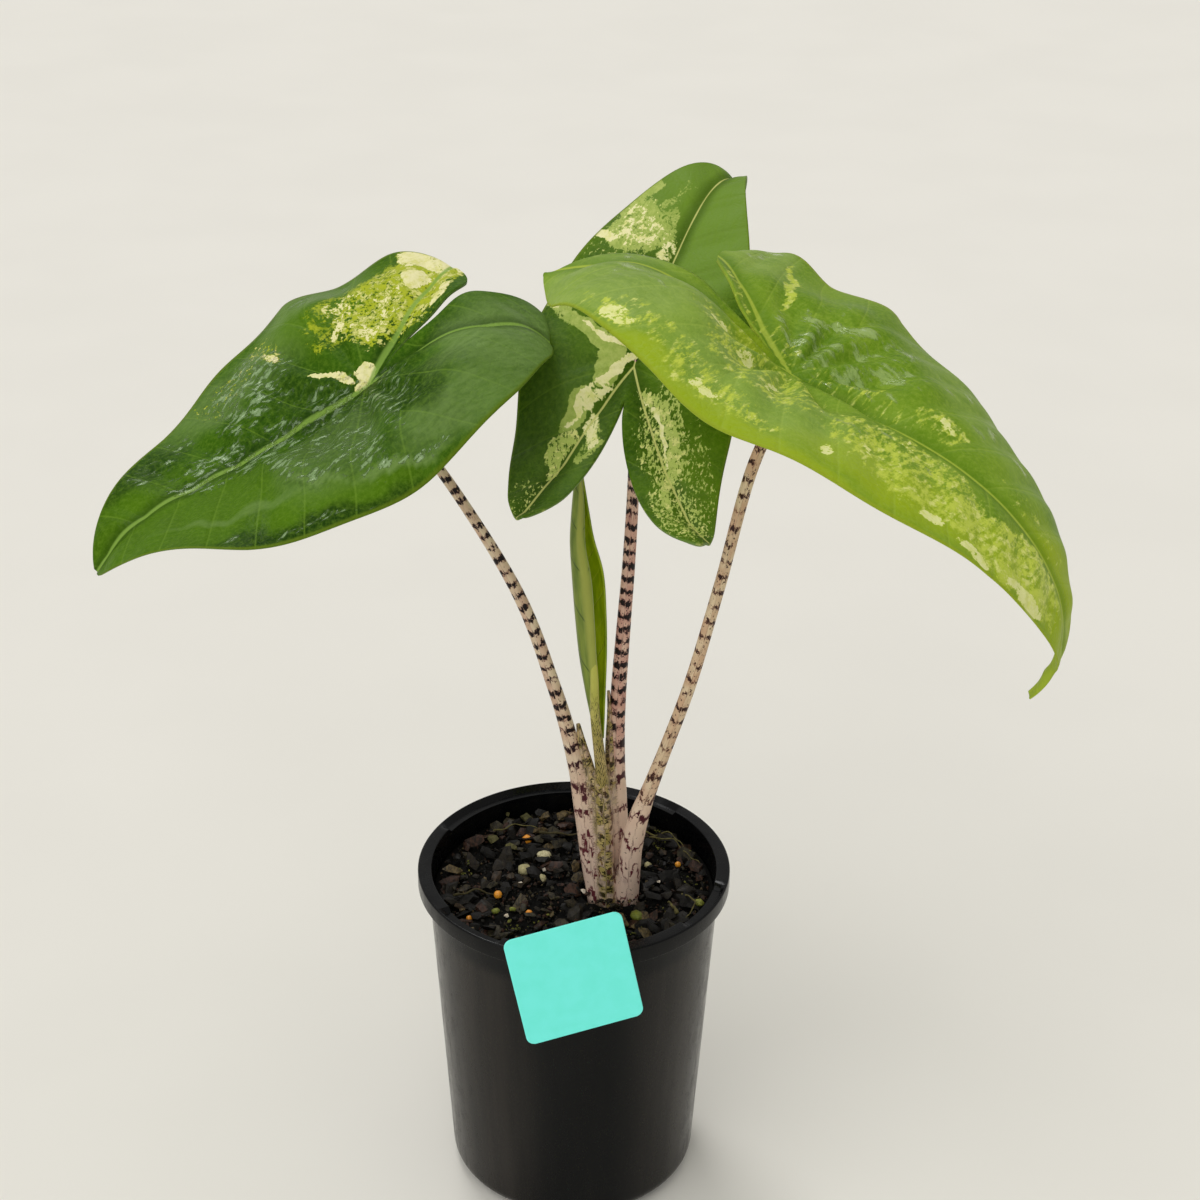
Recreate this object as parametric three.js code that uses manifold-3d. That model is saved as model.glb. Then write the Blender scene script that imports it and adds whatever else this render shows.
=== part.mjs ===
// A potted zebrina alocasia: a black nursery pot of bark mix, three arrow-shaped leaves on banded
// stalks, a new leaf that is still rolled up, and a square card at the rim.
// Millimetres, +Z up. The origin is the middle of the pot's underside. The plant is seen from -Y.

import * as THREE from "three";
import { mergeVertices } from "three/addons/utils/BufferGeometryUtils.js";
import Module from "manifold-3d";

const wasm = await Module();
wasm.setup();

// Driving dimensions

const GAP = 0.3; // clearance between neighbouring pieces
const PLAY = 1.0; // clearance round the stems in the soil's hole

const POT = {
  height: 125,
  rimRadius: 55,
  rimDepth: 6, // height of the band round the rim
  rimFloor: 3.2, // thickness of the rim's flat ring
  skirt: 1.3, // thickness of the band
  wall: 1.4,
  floor: 1.8,
  baseRadius: 44,
  taper: 0.061, // growth of the radius for each millimetre of height
  corner: 4.6, // rounded corner between base and wall
  facets: 56,
};
const DRAIN = { count: 8, ringRadius: 31, radius: 3.5 };
// Three shallow ledges in the rim for a hanger, as [start, end] angles in degrees
const LEDGES = { depth: 2, reach: 2.6, arcs: [[-147, -118], [-42, -13], [44, 154]] };

const SOIL = { level: 116, lump: 1.3, rings: 13, facets: 44 };

// The foot of the plant, where all the stalks meet
const FOOT = { x: 13.9, y: -2.8, acrossX: 9.4, acrossY: 8.6, top: 102.7, bottom: 78 };

const CARD = {
  side: 40.5,
  thick: 0.8,
  corner: 3,
  lean: 8, // degrees that its face looks up
  yaw: 10, // degrees that its face is turned towards +X
  turn: 11, // degrees that it is turned in its own plane
  slide: -9.1, // of its middle, along its own level direction
  level: 108.7, // of its middle, along its own upward direction
};

const BLADE = {
  thick: 1.0,
  ribThick: 1.3, // how far the midrib stands out underneath
  ribWide: 2.6,
  valley: 0.9, // depth of the groove over each rib
  valleyWide: 4.5,
  quilt: 0.45, // height of the swelling between the side veins
  veinPitch: 17,
  veinSlant: 0.55,
  wave: 0.9, // height of the waves in the margin
  wavePitch: 41,
  lobeRows: 10,
  joinedRows: 2,
  bladeRows: 16,
  columns: 7,
};

// A blade's outline. Its place along the midrib runs from the ends of the two back lobes, at -1,
// over the stalk, at 0, to the tip, at 1. Widths are shares of the greatest half width.
const OUTLINE = {
  notchCurve: 1.4,
  lobeRound: 0.76, // where a lobe's rounded end begins
  tip: 0.05,
};
// The places that a leaf's angles are given for
const PITCH_AT = [-1, -0.3, 0.2, 0.7, 1];
const TURN_AT = [-1, 0, 1];
const LIFT_AT = [-1, -0.4, 0, 0.6];

// Each leaf: where its stalk meets the blade, the lengths ahead of it and behind it, the half
// width, how sharply it tapers, the share of its length in the thin drip tip, the share of the
// lobes that is joined, where their outer margins end, how far they spread, and where their inner
// margins end. Its angles are in degrees: "pitch" is the slope of the midrib, "lift" the slope of
// a half beside it, and "curl" how far the half then bends up or down on the way to its margin.
const LEAVES = {
  left: {
    stalkEnd: [-66, -6, 309],
    ahead: 104,
    behind: { left: 65, right: 52 },
    half: 54,
    taper: { left: 0.75, right: 0.85 },
    drip: 0,
    joined: 0.12,
    lobeEnd: 0.66,
    spread: { left: -0.2, right: 0.02 },
    notch: { left: 0.22, right: 0.04 },
    pitch: [20, -35, -32, -14, -52],
    heading: [220, 209, 206],
    roll: [-5, 5, 15],
    lift: { left: [-15, 5, 5, -4], right: [5, 11, 29, 22] },
    curl: { left: [-45, -50, -60, -40], right: [-15, -25, -35, -10] },
  },
  middle: {
    stalkEnd: [18, 5, 312],
    ahead: 110,
    behind: { left: 68, right: 84 },
    half: 36,
    taper: { left: 1.0, right: 1.15 },
    drip: 0.1,
    joined: 0.2,
    lobeEnd: 0.66,
    spread: { left: 0.15, right: 0.25 },
    notch: { left: 0.46, right: 0.46 },
    pitch: [-10, 35, 28, 20, -115],
    heading: [90, 75, 50],
    roll: [0, -5, -5],
    lift: { left: [10, 5, 20, 20], right: [5, 0, 0, 0] },
    curl: { left: [-20, -30, -35, -40], right: [-20, -25, -20, -20] },
  },
  right: {
    stalkEnd: [63, -61, 337],
    ahead: 141,
    behind: { left: 75, right: 73 },
    half: 58,
    taper: { left: 1, right: 1 },
    drip: 0.08,
    joined: 0.12,
    lobeEnd: 0.55,
    spread: { left: 0.4, right: 0.15 },
    notch: { left: 0.3, right: 0.3 },
    pitch: [20, -35, -10, -60, -130],
    heading: [-50, -40, -20],
    roll: [-10, -10, -5],
    lift: { left: [-5, 0, 20, 0], right: [-11, 19, 10, -5] },
    curl: { left: [5, -5, -35, -75], right: [-104, -75, -30, -5] },
  },
};

// Each stalk from the foot up, as [x, y, z, half width across X, half width across Y]. A sheath
// is the thin wing that its foot wraps round the stalks inside it.
const STALKS = {
  left: {
    stem: [
      [9.4, -3.4, 103.3, 3.8, 4.2],
      [8.8, -3.6, 114, 3.8, 4.2],
      [6.4, -3.4, 129, 3.7, 3.9],
      [4.2, -3.2, 145, 3.4, 3.5],
      [1.2, -2.9, 165, 3.1, 3.1],
      [-2.8, -2.6, 183, 2.6, 2.6],
      [-7.2, -2.2, 198.5, 2.35, 2.35],
      [-17.5, -1.6, 229.5, 2.1, 2.1],
      [-32.7, -1.2, 259, 1.8, 1.8],
      [-50, -1.6, 286, 1.7, 1.7],
    ],
    sheath: [
      [10.6, -4, 103.3, 3.2, 4],
      [9.6, -4, 125, 3.2, 3.6],
      [7.4, -3.8, 148, 3.2, 2.8],
      [5.0, -3.6, 165, 2.4, 1.8],
      [2.6, -3.4, 176, 1.6, 1.1],
      [1.2, -3.2, 184, 0.7, 0.6],
    ],
  },
  middle: {
    stem: [
      [16.2, 0.9, 103.3, 3.9, 3.9],
      [15.9, 0.8, 126, 3.7, 3.7],
      [15.1, 0.6, 143, 3.4, 3.4],
      [14.5, 0.3, 163.5, 3.1, 3.1],
      [14.4, 0, 180.5, 2.8, 2.8],
      [14.8, -0.2, 195, 2.65, 2.65],
      [16.3, -0.6, 222.5, 2.35, 2.35],
      [17.5, -0.9, 243, 2.15, 2.15],
      [18.6, -1.2, 272, 1.95, 1.95],
      [18.8, -1.0, 296, 1.85, 1.85],
    ],
    sheath: [
      [13.4, -2.4, 103.3, 2.4, 3],
      [13.2, -2.2, 130, 2.4, 2.8],
      [12.6, -1.8, 155, 2.2, 2.4],
      [12.1, -1.5, 175, 1.6, 1.8],
      [11.9, -1.4, 188, 0.9, 1.1],
      [11.4, -1.4, 196, 0.5, 0.6],
    ],
  },
  right: {
    stem: [
      [18.3, -4.8, 103.3, 3.7, 3.8],
      [18.9, -5.4, 114, 3.7, 3.8],
      [19.3, -6.8, 123, 3.6, 3.6],
      [20, -10, 138, 3.5, 3.3],
      [22.2, -14, 153.5, 3.2, 3],
      [26.1, -17.8, 169, 2.6, 2.6],
      [30.2, -21.5, 184.5, 2.25, 2.25],
      [37.6, -28.8, 214, 2.1, 2.1],
      [45.6, -38.8, 255.5, 1.9, 1.9],
      [55.1, -51.2, 307, 1.85, 1.85],
    ],
  },
  rolled: {
    stem: [
      [11.8, -7.2, 103.3, 2.6, 2.5],
      [11.8, -7.2, 114.5, 2.6, 2.5],
      [11.2, -6.8, 135, 2.5, 2.3],
      [10.3, -6.3, 155.5, 2.3, 2.1],
      [8.8, -5.9, 171.5, 1.95, 1.9],
      [6.9, -5.6, 190, 1.65, 1.6],
      [6.6, -5.6, 203, 1.4, 1.4],
      [6.2, -4.6, 212, 1.0, 1.0],
    ],
  },
};

// The rolled leaf, in the same way. Its outer edge laps over by "lap" of its radius.
const ROLL = {
  lap: 0.24,
  lapAngle: -95, // degrees from +X, where the outer edge lies
  stem: [
    [8.5, -2.6, 178, 1.6, 1.6],
    [7.8, -2.4, 187, 2.5, 2.3],
    [7.0, -2.2, 196, 3.4, 3.0],
    [5.9, -2, 210, 4.5, 3.8],
    [4.9, -2, 225.5, 5, 4.2],
    [3.8, -2, 240.5, 5, 4.2],
    [2.0, -2, 253, 3.9, 3.4],
    [1.5, -2, 262.5, 3.0, 2.7],
    [1.2, -2, 272, 2.0, 1.9],
    [0.9, -2, 281, 0.8, 0.8],
  ],
};

const COLOURS = {
  pot: 0x1b1d20,
  soil: 0x2a221d,
  corm: 0x7d6048,
  card: 0x5fe8d6,
  stalk: 0xcdb4a4,
  leafLeft: 0x3f7a1c,
  leafMiddle: 0x5d8f2c,
  leafRight: 0x7fae35,
  leafRolled: 0x78995a,
};

// Helpers

const radians = THREE.MathUtils.degToRad;

// The value at x of the smooth curve through stations, given as their places and values
function along(places, values, x) {
  const last = places.length - 1;
  const at = THREE.MathUtils.clamp(x, places[0], places[last]);
  let i = 0;
  while (i < last - 1 && at > places[i + 1]) i += 1;
  const slope = (k) => {
    const a = Math.max(k - 1, 0);
    const b = Math.min(k + 1, last);
    return (values[b] - values[a]) / (places[b] - places[a]);
  };
  const width = places[i + 1] - places[i];
  const t = (at - places[i]) / width;
  return (
    values[i] * (1 + 2 * t) * (1 - t) ** 2 +
    values[i + 1] * t * t * (3 - 2 * t) +
    slope(i) * width * t * (1 - t) ** 2 +
    slope(i + 1) * width * t * t * (t - 1)
  );
}

function meshData(points, triangles) {
  const geometry = new THREE.BufferGeometry();
  geometry.setAttribute("position", new THREE.Float32BufferAttribute(points.flat(), 3));
  geometry.setIndex(triangles.flat());
  return geometry;
}

function toSolid(geometry) {
  const bare = new THREE.BufferGeometry();
  bare.setAttribute("position", geometry.getAttribute("position"));
  bare.setIndex(geometry.getIndex());
  const merged = mergeVertices(bare, 1e-3);
  return new wasm.Manifold(
    new wasm.Mesh({
      numProp: 3,
      vertProperties: merged.getAttribute("position").array,
      triVerts: new Uint32Array(merged.getIndex().array),
    }),
  );
}

function toGeometry(solid) {
  const mesh = solid.getMesh();
  const geometry = new THREE.BufferGeometry();
  geometry.setAttribute("position", new THREE.BufferAttribute(mesh.vertProperties, 3));
  geometry.setIndex(new THREE.BufferAttribute(mesh.triVerts, 1));
  return geometry;
}

// The largest of a solid's separate bodies
function mainBody(solid) {
  return solid.decompose().reduce((best, body) => (body.volume() > best.volume() ? body : best));
}

// A closed solid through rings of points that all have the same count, wound anticlockwise as
// seen from the last ring's side
function loft(rings) {
  const count = rings[0].length;
  const points = rings.flat();
  const middle = (ring) => ring[0].map((_, k) => ring.reduce((sum, p) => sum + p[k], 0) / count);
  const foot = points.push(middle(rings[0])) - 1;
  const head = points.push(middle(rings[rings.length - 1])) - 1;
  const top = (rings.length - 1) * count;
  const triangles = [];
  for (let j = 0; j < count; j++) {
    const next = (j + 1) % count;
    triangles.push([foot, next, j], [head, top + j, top + next]);
    for (let i = 0; i < rings.length - 1; i++) {
      const a = i * count + j;
      const b = i * count + next;
      triangles.push([a, b, b + count], [a, b + count, a + count]);
    }
  }
  return toSolid(meshData(points, triangles));
}

// Pot

const wallOuter = (z) => POT.baseRadius + POT.taper * z;
const wallInner = (z) => wallOuter(z) - POT.wall;

function revolve(profile, facets) {
  const points = profile.map(([radius, z]) => new THREE.Vector2(radius, z));
  return toSolid(new THREE.LatheGeometry(points, facets).rotateX(Math.PI / 2));
}

// A slab in the shape of part of a ring, from bottom to top
function ringSlab(inner, outer, from, to, bottom, top) {
  const shape = new THREE.Shape();
  shape.absarc(0, 0, outer, radians(from), radians(to), false);
  shape.absarc(0, 0, inner, radians(to), radians(from), true);
  const slab = new THREE.ExtrudeGeometry(shape, {
    depth: top - bottom,
    bevelEnabled: false,
    curveSegments: Math.ceil((to - from) / 6),
  });
  return toSolid(slab.translate(0, 0, bottom));
}

function pot() {
  const { height, rimRadius, rimDepth, rimFloor, skirt, floor, corner, baseRadius } = POT;
  const under = height - rimFloor;
  const edge = 0.6;
  let body = revolve(
    [
      [0, 0],
      [baseRadius - corner, 0],
      [baseRadius - 0.32 * corner, 0.32 * corner],
      [wallOuter(corner), corner],
      [wallOuter(under), under],
      [rimRadius - skirt, under],
      [rimRadius - skirt, height - rimDepth],
      [rimRadius, height - rimDepth],
      [rimRadius, height - edge],
      [rimRadius - edge, height],
      [wallInner(height), height],
      [wallInner(corner), corner],
      [baseRadius - corner, floor],
      [0, floor],
    ],
    POT.facets,
  );
  for (const [from, to] of LEDGES.arcs) {
    const inner = wallInner(height) - 1;
    const outer = wallInner(height) + LEDGES.reach;
    body = body.subtract(ringSlab(inner, outer, from, to, height - LEDGES.depth, height + 1));
  }
  for (let i = 0; i < DRAIN.count; i++) {
    const angle = ((i + 0.5) / DRAIN.count) * 2 * Math.PI;
    const drill = new THREE.CylinderGeometry(DRAIN.radius, DRAIN.radius, 4 * floor, 12)
      .rotateX(Math.PI / 2)
      .translate(DRAIN.ringRadius * Math.cos(angle), DRAIN.ringRadius * Math.sin(angle), 0);
    body = body.subtract(toSolid(drill));
  }
  return toGeometry(body);
}

// Soil

function ellipseRing(grow, z, count) {
  return Array.from({ length: count }, (_, j) => {
    const angle = (j / count) * 2 * Math.PI;
    const x = FOOT.x + (FOOT.acrossX + grow) * Math.cos(angle);
    const y = FOOT.y + (FOOT.acrossY + grow) * Math.sin(angle);
    return [x, y, z];
  });
}

// Bark mix that fills the pot, with its lumpy top raised by a formula and a plain hole for the stems
function soil() {
  const { level, lump, rings, facets } = SOIL;
  const ring = (radius, z) =>
    Array.from({ length: facets }, (_, j) => {
      const angle = (j / facets) * 2 * Math.PI;
      return [radius * Math.cos(angle), radius * Math.sin(angle), z];
    });
  const bottom = POT.floor + GAP;
  const edge = wallInner(level) - GAP;
  const stack = [
    ring(POT.baseRadius - POT.corner - 2 * GAP, bottom),
    ring(wallInner(POT.corner) - 2 * GAP, POT.corner + GAP),
    ring(edge, level),
  ];
  for (let i = 1; i < rings; i++) {
    const reach = 1 - i / rings;
    const lumps = ring(edge * reach, level).map(([x, y]) => {
      const broad = Math.sin(x * 0.21 + 1) * Math.cos(y * 0.27);
      const fine = Math.sin(x * 0.61 - y * 0.35) * Math.cos(y * 0.57 + x * 0.2);
      return [x, y, level + lump * (0.5 * broad + 0.7 * fine)];
    });
    stack.push(lumps);
  }
  const hole = loft([
    ellipseRing(PLAY, FOOT.bottom - GAP, 32),
    ellipseRing(PLAY, level + 12, 32),
  ]);
  return toGeometry(mainBody(loft(stack).subtract(hole)));
}

// The swollen foot of the stem, under the soil, that carries all the stalks
function corm() {
  const { top, bottom } = FOOT;
  return toGeometry(
    loft([
      ellipseRing(-5, bottom, 24),
      ellipseRing(-1.2, bottom + 4, 24),
      ellipseRing(0, bottom + 11, 24),
      ellipseRing(0, top - 6, 24),
      ellipseRing(-0.4, top, 24),
    ]),
  );
}

// Stalks

// A rod of changing elliptical section through the stations, made thicker all round by "swell".
// "radius" gives a share of the section's radius at each angle.
function rod(stations, { swell = 0, sides = 12, steps = 26, radius = () => 1, start = 0 } = {}) {
  const curve = new THREE.CatmullRomCurve3(
    stations.map(([x, y, z]) => new THREE.Vector3(x, y, z)),
    false,
    "centripetal",
  );
  const places = stations.map((_, i) => i / (stations.length - 1));
  const wide = stations.map((s) => s[3]);
  const deep = stations.map((s) => s[4]);
  const rings = [];
  for (let i = 0; i <= steps; i++) {
    const t = i / steps;
    const ahead = curve.getTangent(t);
    const past = i === 0 ? -swell : i === steps ? swell : 0;
    const centre = curve.getPoint(t).addScaledVector(ahead, past);
    const across = new THREE.Vector3(0, 1, 0).cross(ahead).normalize();
    const outwards = new THREE.Vector3().crossVectors(ahead, across);
    const ring = [];
    for (let j = 0; j < sides; j++) {
      const angle = start + (j / sides) * 2 * Math.PI;
      const share = radius(j / sides);
      const a = (along(places, wide, t) * share + swell) * Math.cos(angle);
      const b = (along(places, deep, t) * share + swell) * Math.sin(angle);
      ring.push(centre.clone().addScaledVector(across, a).addScaledVector(outwards, b).toArray());
    }
    rings.push(ring);
  }
  return loft(rings);
}

// A stalk with its sheath, ending just under the blade's skin at the last station
function stalk({ stem, sheath }, end, swell = 0) {
  const stations = end ? [...stem, end] : stem;
  const body = rod(stations, { swell });
  return sheath ? body.add(rod(sheath, { swell, sides: 10, steps: 14 })) : body;
}

// Leaf blades

// The midrib as a function that gives its point and axes at station u
function midrib(leaf) {
  const STEPS = 120;
  const length = { ahead: leaf.ahead, behind: Math.max(leaf.behind.left, leaf.behind.right) };
  const axes = (u) => {
    const pitch = radians(along(PITCH_AT, leaf.pitch, u));
    const heading = radians(along(TURN_AT, leaf.heading, u));
    const roll = radians(along(TURN_AT, leaf.roll, u));
    const ahead = new THREE.Vector3(
      Math.cos(pitch) * Math.cos(heading),
      Math.cos(pitch) * Math.sin(heading),
      Math.sin(pitch),
    );
    const left = new THREE.Vector3(-Math.sin(heading), Math.cos(heading), 0);
    left.applyAxisAngle(ahead, roll);
    return { ahead, left, up: new THREE.Vector3().crossVectors(ahead, left) };
  };
  const walk = (sign, total) => {
    const points = [new THREE.Vector3(...leaf.stalkEnd)];
    for (let i = 0; i < STEPS; i++) {
      const { ahead } = axes((sign * (i + 0.5)) / STEPS);
      points.push(points[i].clone().addScaledVector(ahead, (sign * total) / STEPS));
    }
    return points;
  };
  const forward = walk(1, length.ahead);
  const back = walk(-1, length.behind);
  return (u) => {
    const points = u < 0 ? back : forward;
    const place = Math.abs(u) * STEPS;
    const i = Math.min(Math.floor(place), STEPS - 1);
    return { point: points[i].clone().lerp(points[i + 1], place - i), ...axes(u) };
  };
}

// Inner and outer margin of one half at place u, as distances from the midrib's line
function margins(leaf, side, u) {
  const { notchCurve, lobeRound, tip } = OUTLINE;
  if (u >= 0) {
    const body = Math.max(0, 1 - (u / (1 - leaf.drip)) ** 2) ** leaf.taper[side];
    return [0, (tip * u + (1 - tip * u) * body) * leaf.half];
  }
  const free = Math.max(0, (-u - leaf.joined) / (1 - leaf.joined));
  const outer = 1 - (1 - leaf.lobeEnd) * u * u;
  const inner = leaf.notch[side] * free ** notchCurve;
  const round = Math.max(0, (-u - lobeRound) / (1 - lobeRound));
  const share = Math.max(0.1, Math.sqrt(1 - round * round));
  const middle = (outer + inner) / 2 + leaf.spread[side] * free * free;
  const reach = ((outer - inner) / 2) * share;
  return [(middle - reach) * leaf.half, (middle + reach) * leaf.half];
}

// How far the skin lies above or below the smooth blade, from ribs, veins and the wavy margin
function relief(u, a, b, share) {
  const { valley, valleyWide, quilt, veinPitch, veinSlant, wave, wavePitch } = BLADE;
  const rib = u >= 0 ? b : Math.abs(b + a * 0.42) * 0.92;
  const groove = -valley * Math.exp(-((rib / valleyWide) ** 2));
  const phase = (u >= 0 ? a - veinSlant * b : -a - veinSlant * b) / veinPitch;
  const swelling = quilt * Math.sin(phase * 2 * Math.PI) * Math.sin(share * Math.PI);
  const ripple = wave * share ** 3 * Math.sin((a / wavePitch) * 2 * Math.PI + b * 0.05);
  return groove + swelling + ripple;
}

// A blade as one closed skin. Both faces are split alike, from one sheet of points.
function blade(leaf, swell = 0) {
  const { lobeRows, joinedRows, bladeRows, columns, thick, ribThick, ribWide } = BLADE;
  const frameAt = midrib(leaf);
  const longest = Math.max(leaf.behind.left, leaf.behind.right);
  const rows = [];
  for (let i = 0; i <= lobeRows; i++) {
    rows.push(-leaf.joined - (1 - leaf.joined) * Math.cos((i / lobeRows) * (Math.PI / 2)));
  }
  for (let i = 1; i < joinedRows; i++) rows.push(-leaf.joined * (1 - i / joinedRows));
  for (let i = 0; i <= bladeRows; i++) rows.push(1 - (1 - i / bladeRows) ** 1.25);

  const points = [];
  const ribs = [];
  const indexOf = { left: [], right: [] };
  for (const side of ["left", "right"]) {
    const sign = side === "left" ? 1 : -1;
    rows.forEach((u, i) => {
      const place = u < 0 ? (u * leaf.behind[side]) / longest : u;
      const { point, left, up } = frameAt(place);
      const lift = radians(along(LIFT_AT, leaf.lift[side], u));
      const curl = radians(along(LIFT_AT, leaf.curl[side], u));
      const [inner, outer] = margins(leaf, side, u);
      const a = u < 0 ? u * leaf.behind[side] : u * leaf.ahead;
      let across = inner * Math.cos(lift);
      let rise = inner * Math.sin(lift);
      let before = inner;
      indexOf[side][i] = [];
      for (let j = 0; j <= columns; j++) {
        const share = (j / columns) ** (u < 0 ? 1 : 1.2);
        const b = inner + (outer - inner) * share;
        const slope = lift + curl * ((b + before) / 2 / leaf.half) ** 2;
        across += Math.cos(slope) * (b - before);
        rise += Math.sin(slope) * (b - before);
        before = b;
        if (i >= lobeRows && j === 0 && side === "right") {
          indexOf.right[i].push(indexOf.left[i][0]);
          continue;
        }
        const skin = point.clone().addScaledVector(left, sign * across);
        skin.addScaledVector(up, rise + relief(u, a, b, share));
        indexOf[side][i].push(points.push(skin.toArray()) - 1);
        ribs.push(u >= 0 ? Math.exp(-((b / ribWide) ** 2)) * (1 - u) : 0);
      }
    });
  }

  const triangles = [];
  for (const side of ["left", "right"]) {
    const grid = indexOf[side];
    for (let i = 0; i < rows.length - 1; i++) {
      for (let j = 0; j < columns; j++) {
        const [a, b, c, d] = [grid[i][j], grid[i + 1][j], grid[i + 1][j + 1], grid[i][j + 1]];
        if (side === "left") triangles.push([a, b, c], [a, c, d]);
        else triangles.push([a, c, b], [a, d, c]);
      }
    }
  }
  return thicken(points, triangles, (k) => [
    thick / 2 + swell,
    thick / 2 + swell + ribThick * ribs[k],
  ]);
}

// A closed solid from an open sheet: "depths" gives how far each point moves up and down
function thicken(points, triangles, depths) {
  const sheet = meshData(points, triangles);
  sheet.computeVertexNormals();
  const normals = sheet.getAttribute("normal");
  const shifted = (k, distance) => {
    const normal = new THREE.Vector3().fromBufferAttribute(normals, k);
    return new THREE.Vector3(...points[k]).addScaledVector(normal, distance).toArray();
  };
  const upper = points.map((_, k) => shifted(k, depths(k)[0]));
  const lower = points.map((_, k) => shifted(k, -depths(k)[1]));
  const count = points.length;
  const faces = [...triangles, ...triangles.map(([a, b, c]) => [a + count, c + count, b + count])];
  const edges = new Set(triangles.flatMap(([a, b, c]) => [`${a} ${b}`, `${b} ${c}`, `${c} ${a}`]));
  for (const edge of edges) {
    const [a, b] = edge.split(" ").map(Number);
    if (edges.has(`${b} ${a}`)) continue;
    faces.push([a, a + count, b + count], [a, b + count, b]);
  }
  return toSolid(meshData([...upper, ...lower], faces));
}

// The new leaf, rolled on itself, so that its section is a spiral with one free edge
function rolledBlade(swell = 0) {
  const sides = 18;
  const radius = (turn) => 1 + ROLL.lap * (turn - 0.5);
  return rod(ROLL.stem, { swell, sides, steps: 24, radius, start: radians(ROLL.lapAngle) });
}

// Card

function card() {
  const { side, thick, corner, lean, yaw, turn, slide, level } = CARD;
  const half = side / 2;
  const inset = half - corner;
  const shape = new THREE.Shape();
  [0, 1, 2, 3].forEach((quarter) => {
    const angle = (quarter * Math.PI) / 2;
    const x = inset * Math.SQRT2 * Math.cos(angle + Math.PI / 4);
    const y = inset * Math.SQRT2 * Math.sin(angle + Math.PI / 4);
    shape.absarc(x, y, corner, angle, angle + Math.PI / 2, false);
  });
  const face = new THREE.Vector3(
    Math.sin(radians(yaw)) * Math.cos(radians(lean)),
    -Math.cos(radians(yaw)) * Math.cos(radians(lean)),
    Math.sin(radians(lean)),
  );
  const flat = new THREE.Vector3(Math.cos(radians(yaw)), Math.sin(radians(yaw)), 0);
  const upwards = new THREE.Vector3().crossVectors(face, flat);
  const touch = POT.rimRadius * Math.cos(radians(lean)) + POT.height * Math.sin(radians(lean));
  const place = new THREE.Matrix4().makeBasis(flat, upwards, face);
  place.setPosition(
    new THREE.Vector3()
      .addScaledVector(flat, slide)
      .addScaledVector(upwards, level)
      .addScaledVector(face, touch + GAP),
  );
  const geometry = new THREE.ExtrudeGeometry(shape, {
    depth: thick,
    bevelEnabled: false,
    curveSegments: 4,
  });
  return geometry.rotateZ(radians(turn)).applyMatrix4(place);
}

// Assembly

const plant = new THREE.Group();

function addPiece(parent, name, geometry, color, roughness) {
  const material = new THREE.MeshStandardMaterial({ color, roughness, metalness: 0 });
  const mesh = new THREE.Mesh(geometry, material);
  mesh.name = name;
  parent.add(mesh);
}

const stalks = new THREE.Group();
const blades = new THREE.Group();
const holder = new THREE.Group();
plant.add(holder, stalks, blades);

addPiece(holder, "pot", pot(), COLOURS.pot, 0.35);
addPiece(holder, "soil", soil(), COLOURS.soil, 0.95);
addPiece(holder, "tag", card(), COLOURS.card, 0.4);
addPiece(stalks, "corm", corm(), COLOURS.corm, 0.9);

// Where each stalk ends: just ahead of the notch between the lobes, in the blade's underside
function stalkTop(leaf, radius) {
  const { point, up } = midrib(leaf)(0.03);
  point.addScaledVector(up, -BLADE.valley - BLADE.thick);
  return [...point.toArray(), radius, radius];
}

// The youngest stalk stands innermost, so each older one is cut clear of those made before it
const made = [];
for (const name of ["rolled", "left", "middle", "right"]) {
  const leaf = LEAVES[name];
  const end = leaf && stalkTop(leaf, 1.7);
  let body = stalk(STALKS[name], end);
  for (const other of made) body = body.subtract(other);
  if (leaf) body = body.subtract(blade(leaf, 1.5 * GAP));
  made.push(stalk(STALKS[name], end, GAP));
  addPiece(stalks, `petiole_${name}`, toGeometry(mainBody(body)), COLOURS.stalk, 0.55);
}

addPiece(blades, "blade_left", toGeometry(blade(LEAVES.left)), COLOURS.leafLeft, 0.3);
addPiece(blades, "blade_middle", toGeometry(blade(LEAVES.middle)), COLOURS.leafMiddle, 0.4);
addPiece(blades, "blade_right", toGeometry(blade(LEAVES.right)), COLOURS.leafRight, 0.35);
const rolled = mainBody(made.reduce((body, other) => body.subtract(other), rolledBlade()));
addPiece(blades, "blade_rolled", toGeometry(rolled), COLOURS.leafRolled, 0.45);

export default plant;
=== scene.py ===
import math

import bmesh
import bpy
import numpy as np
from mathutils import Matrix, Vector, kdtree, noise


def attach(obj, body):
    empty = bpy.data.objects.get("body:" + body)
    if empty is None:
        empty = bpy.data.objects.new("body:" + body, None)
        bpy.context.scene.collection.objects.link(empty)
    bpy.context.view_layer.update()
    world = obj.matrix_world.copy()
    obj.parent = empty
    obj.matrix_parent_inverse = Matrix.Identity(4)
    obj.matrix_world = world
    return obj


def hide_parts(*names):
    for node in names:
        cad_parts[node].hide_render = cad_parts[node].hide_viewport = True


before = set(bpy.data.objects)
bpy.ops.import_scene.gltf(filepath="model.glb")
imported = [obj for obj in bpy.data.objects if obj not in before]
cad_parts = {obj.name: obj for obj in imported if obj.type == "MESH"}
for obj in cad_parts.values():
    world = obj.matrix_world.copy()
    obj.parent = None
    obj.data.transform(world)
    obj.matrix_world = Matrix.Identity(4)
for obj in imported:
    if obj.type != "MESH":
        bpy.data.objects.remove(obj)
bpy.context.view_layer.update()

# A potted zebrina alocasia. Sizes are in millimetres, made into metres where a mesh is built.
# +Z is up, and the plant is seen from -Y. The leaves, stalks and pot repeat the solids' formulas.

MM = 0.001
BODY = "root"

# Dimensions of the pot and the mix

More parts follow.
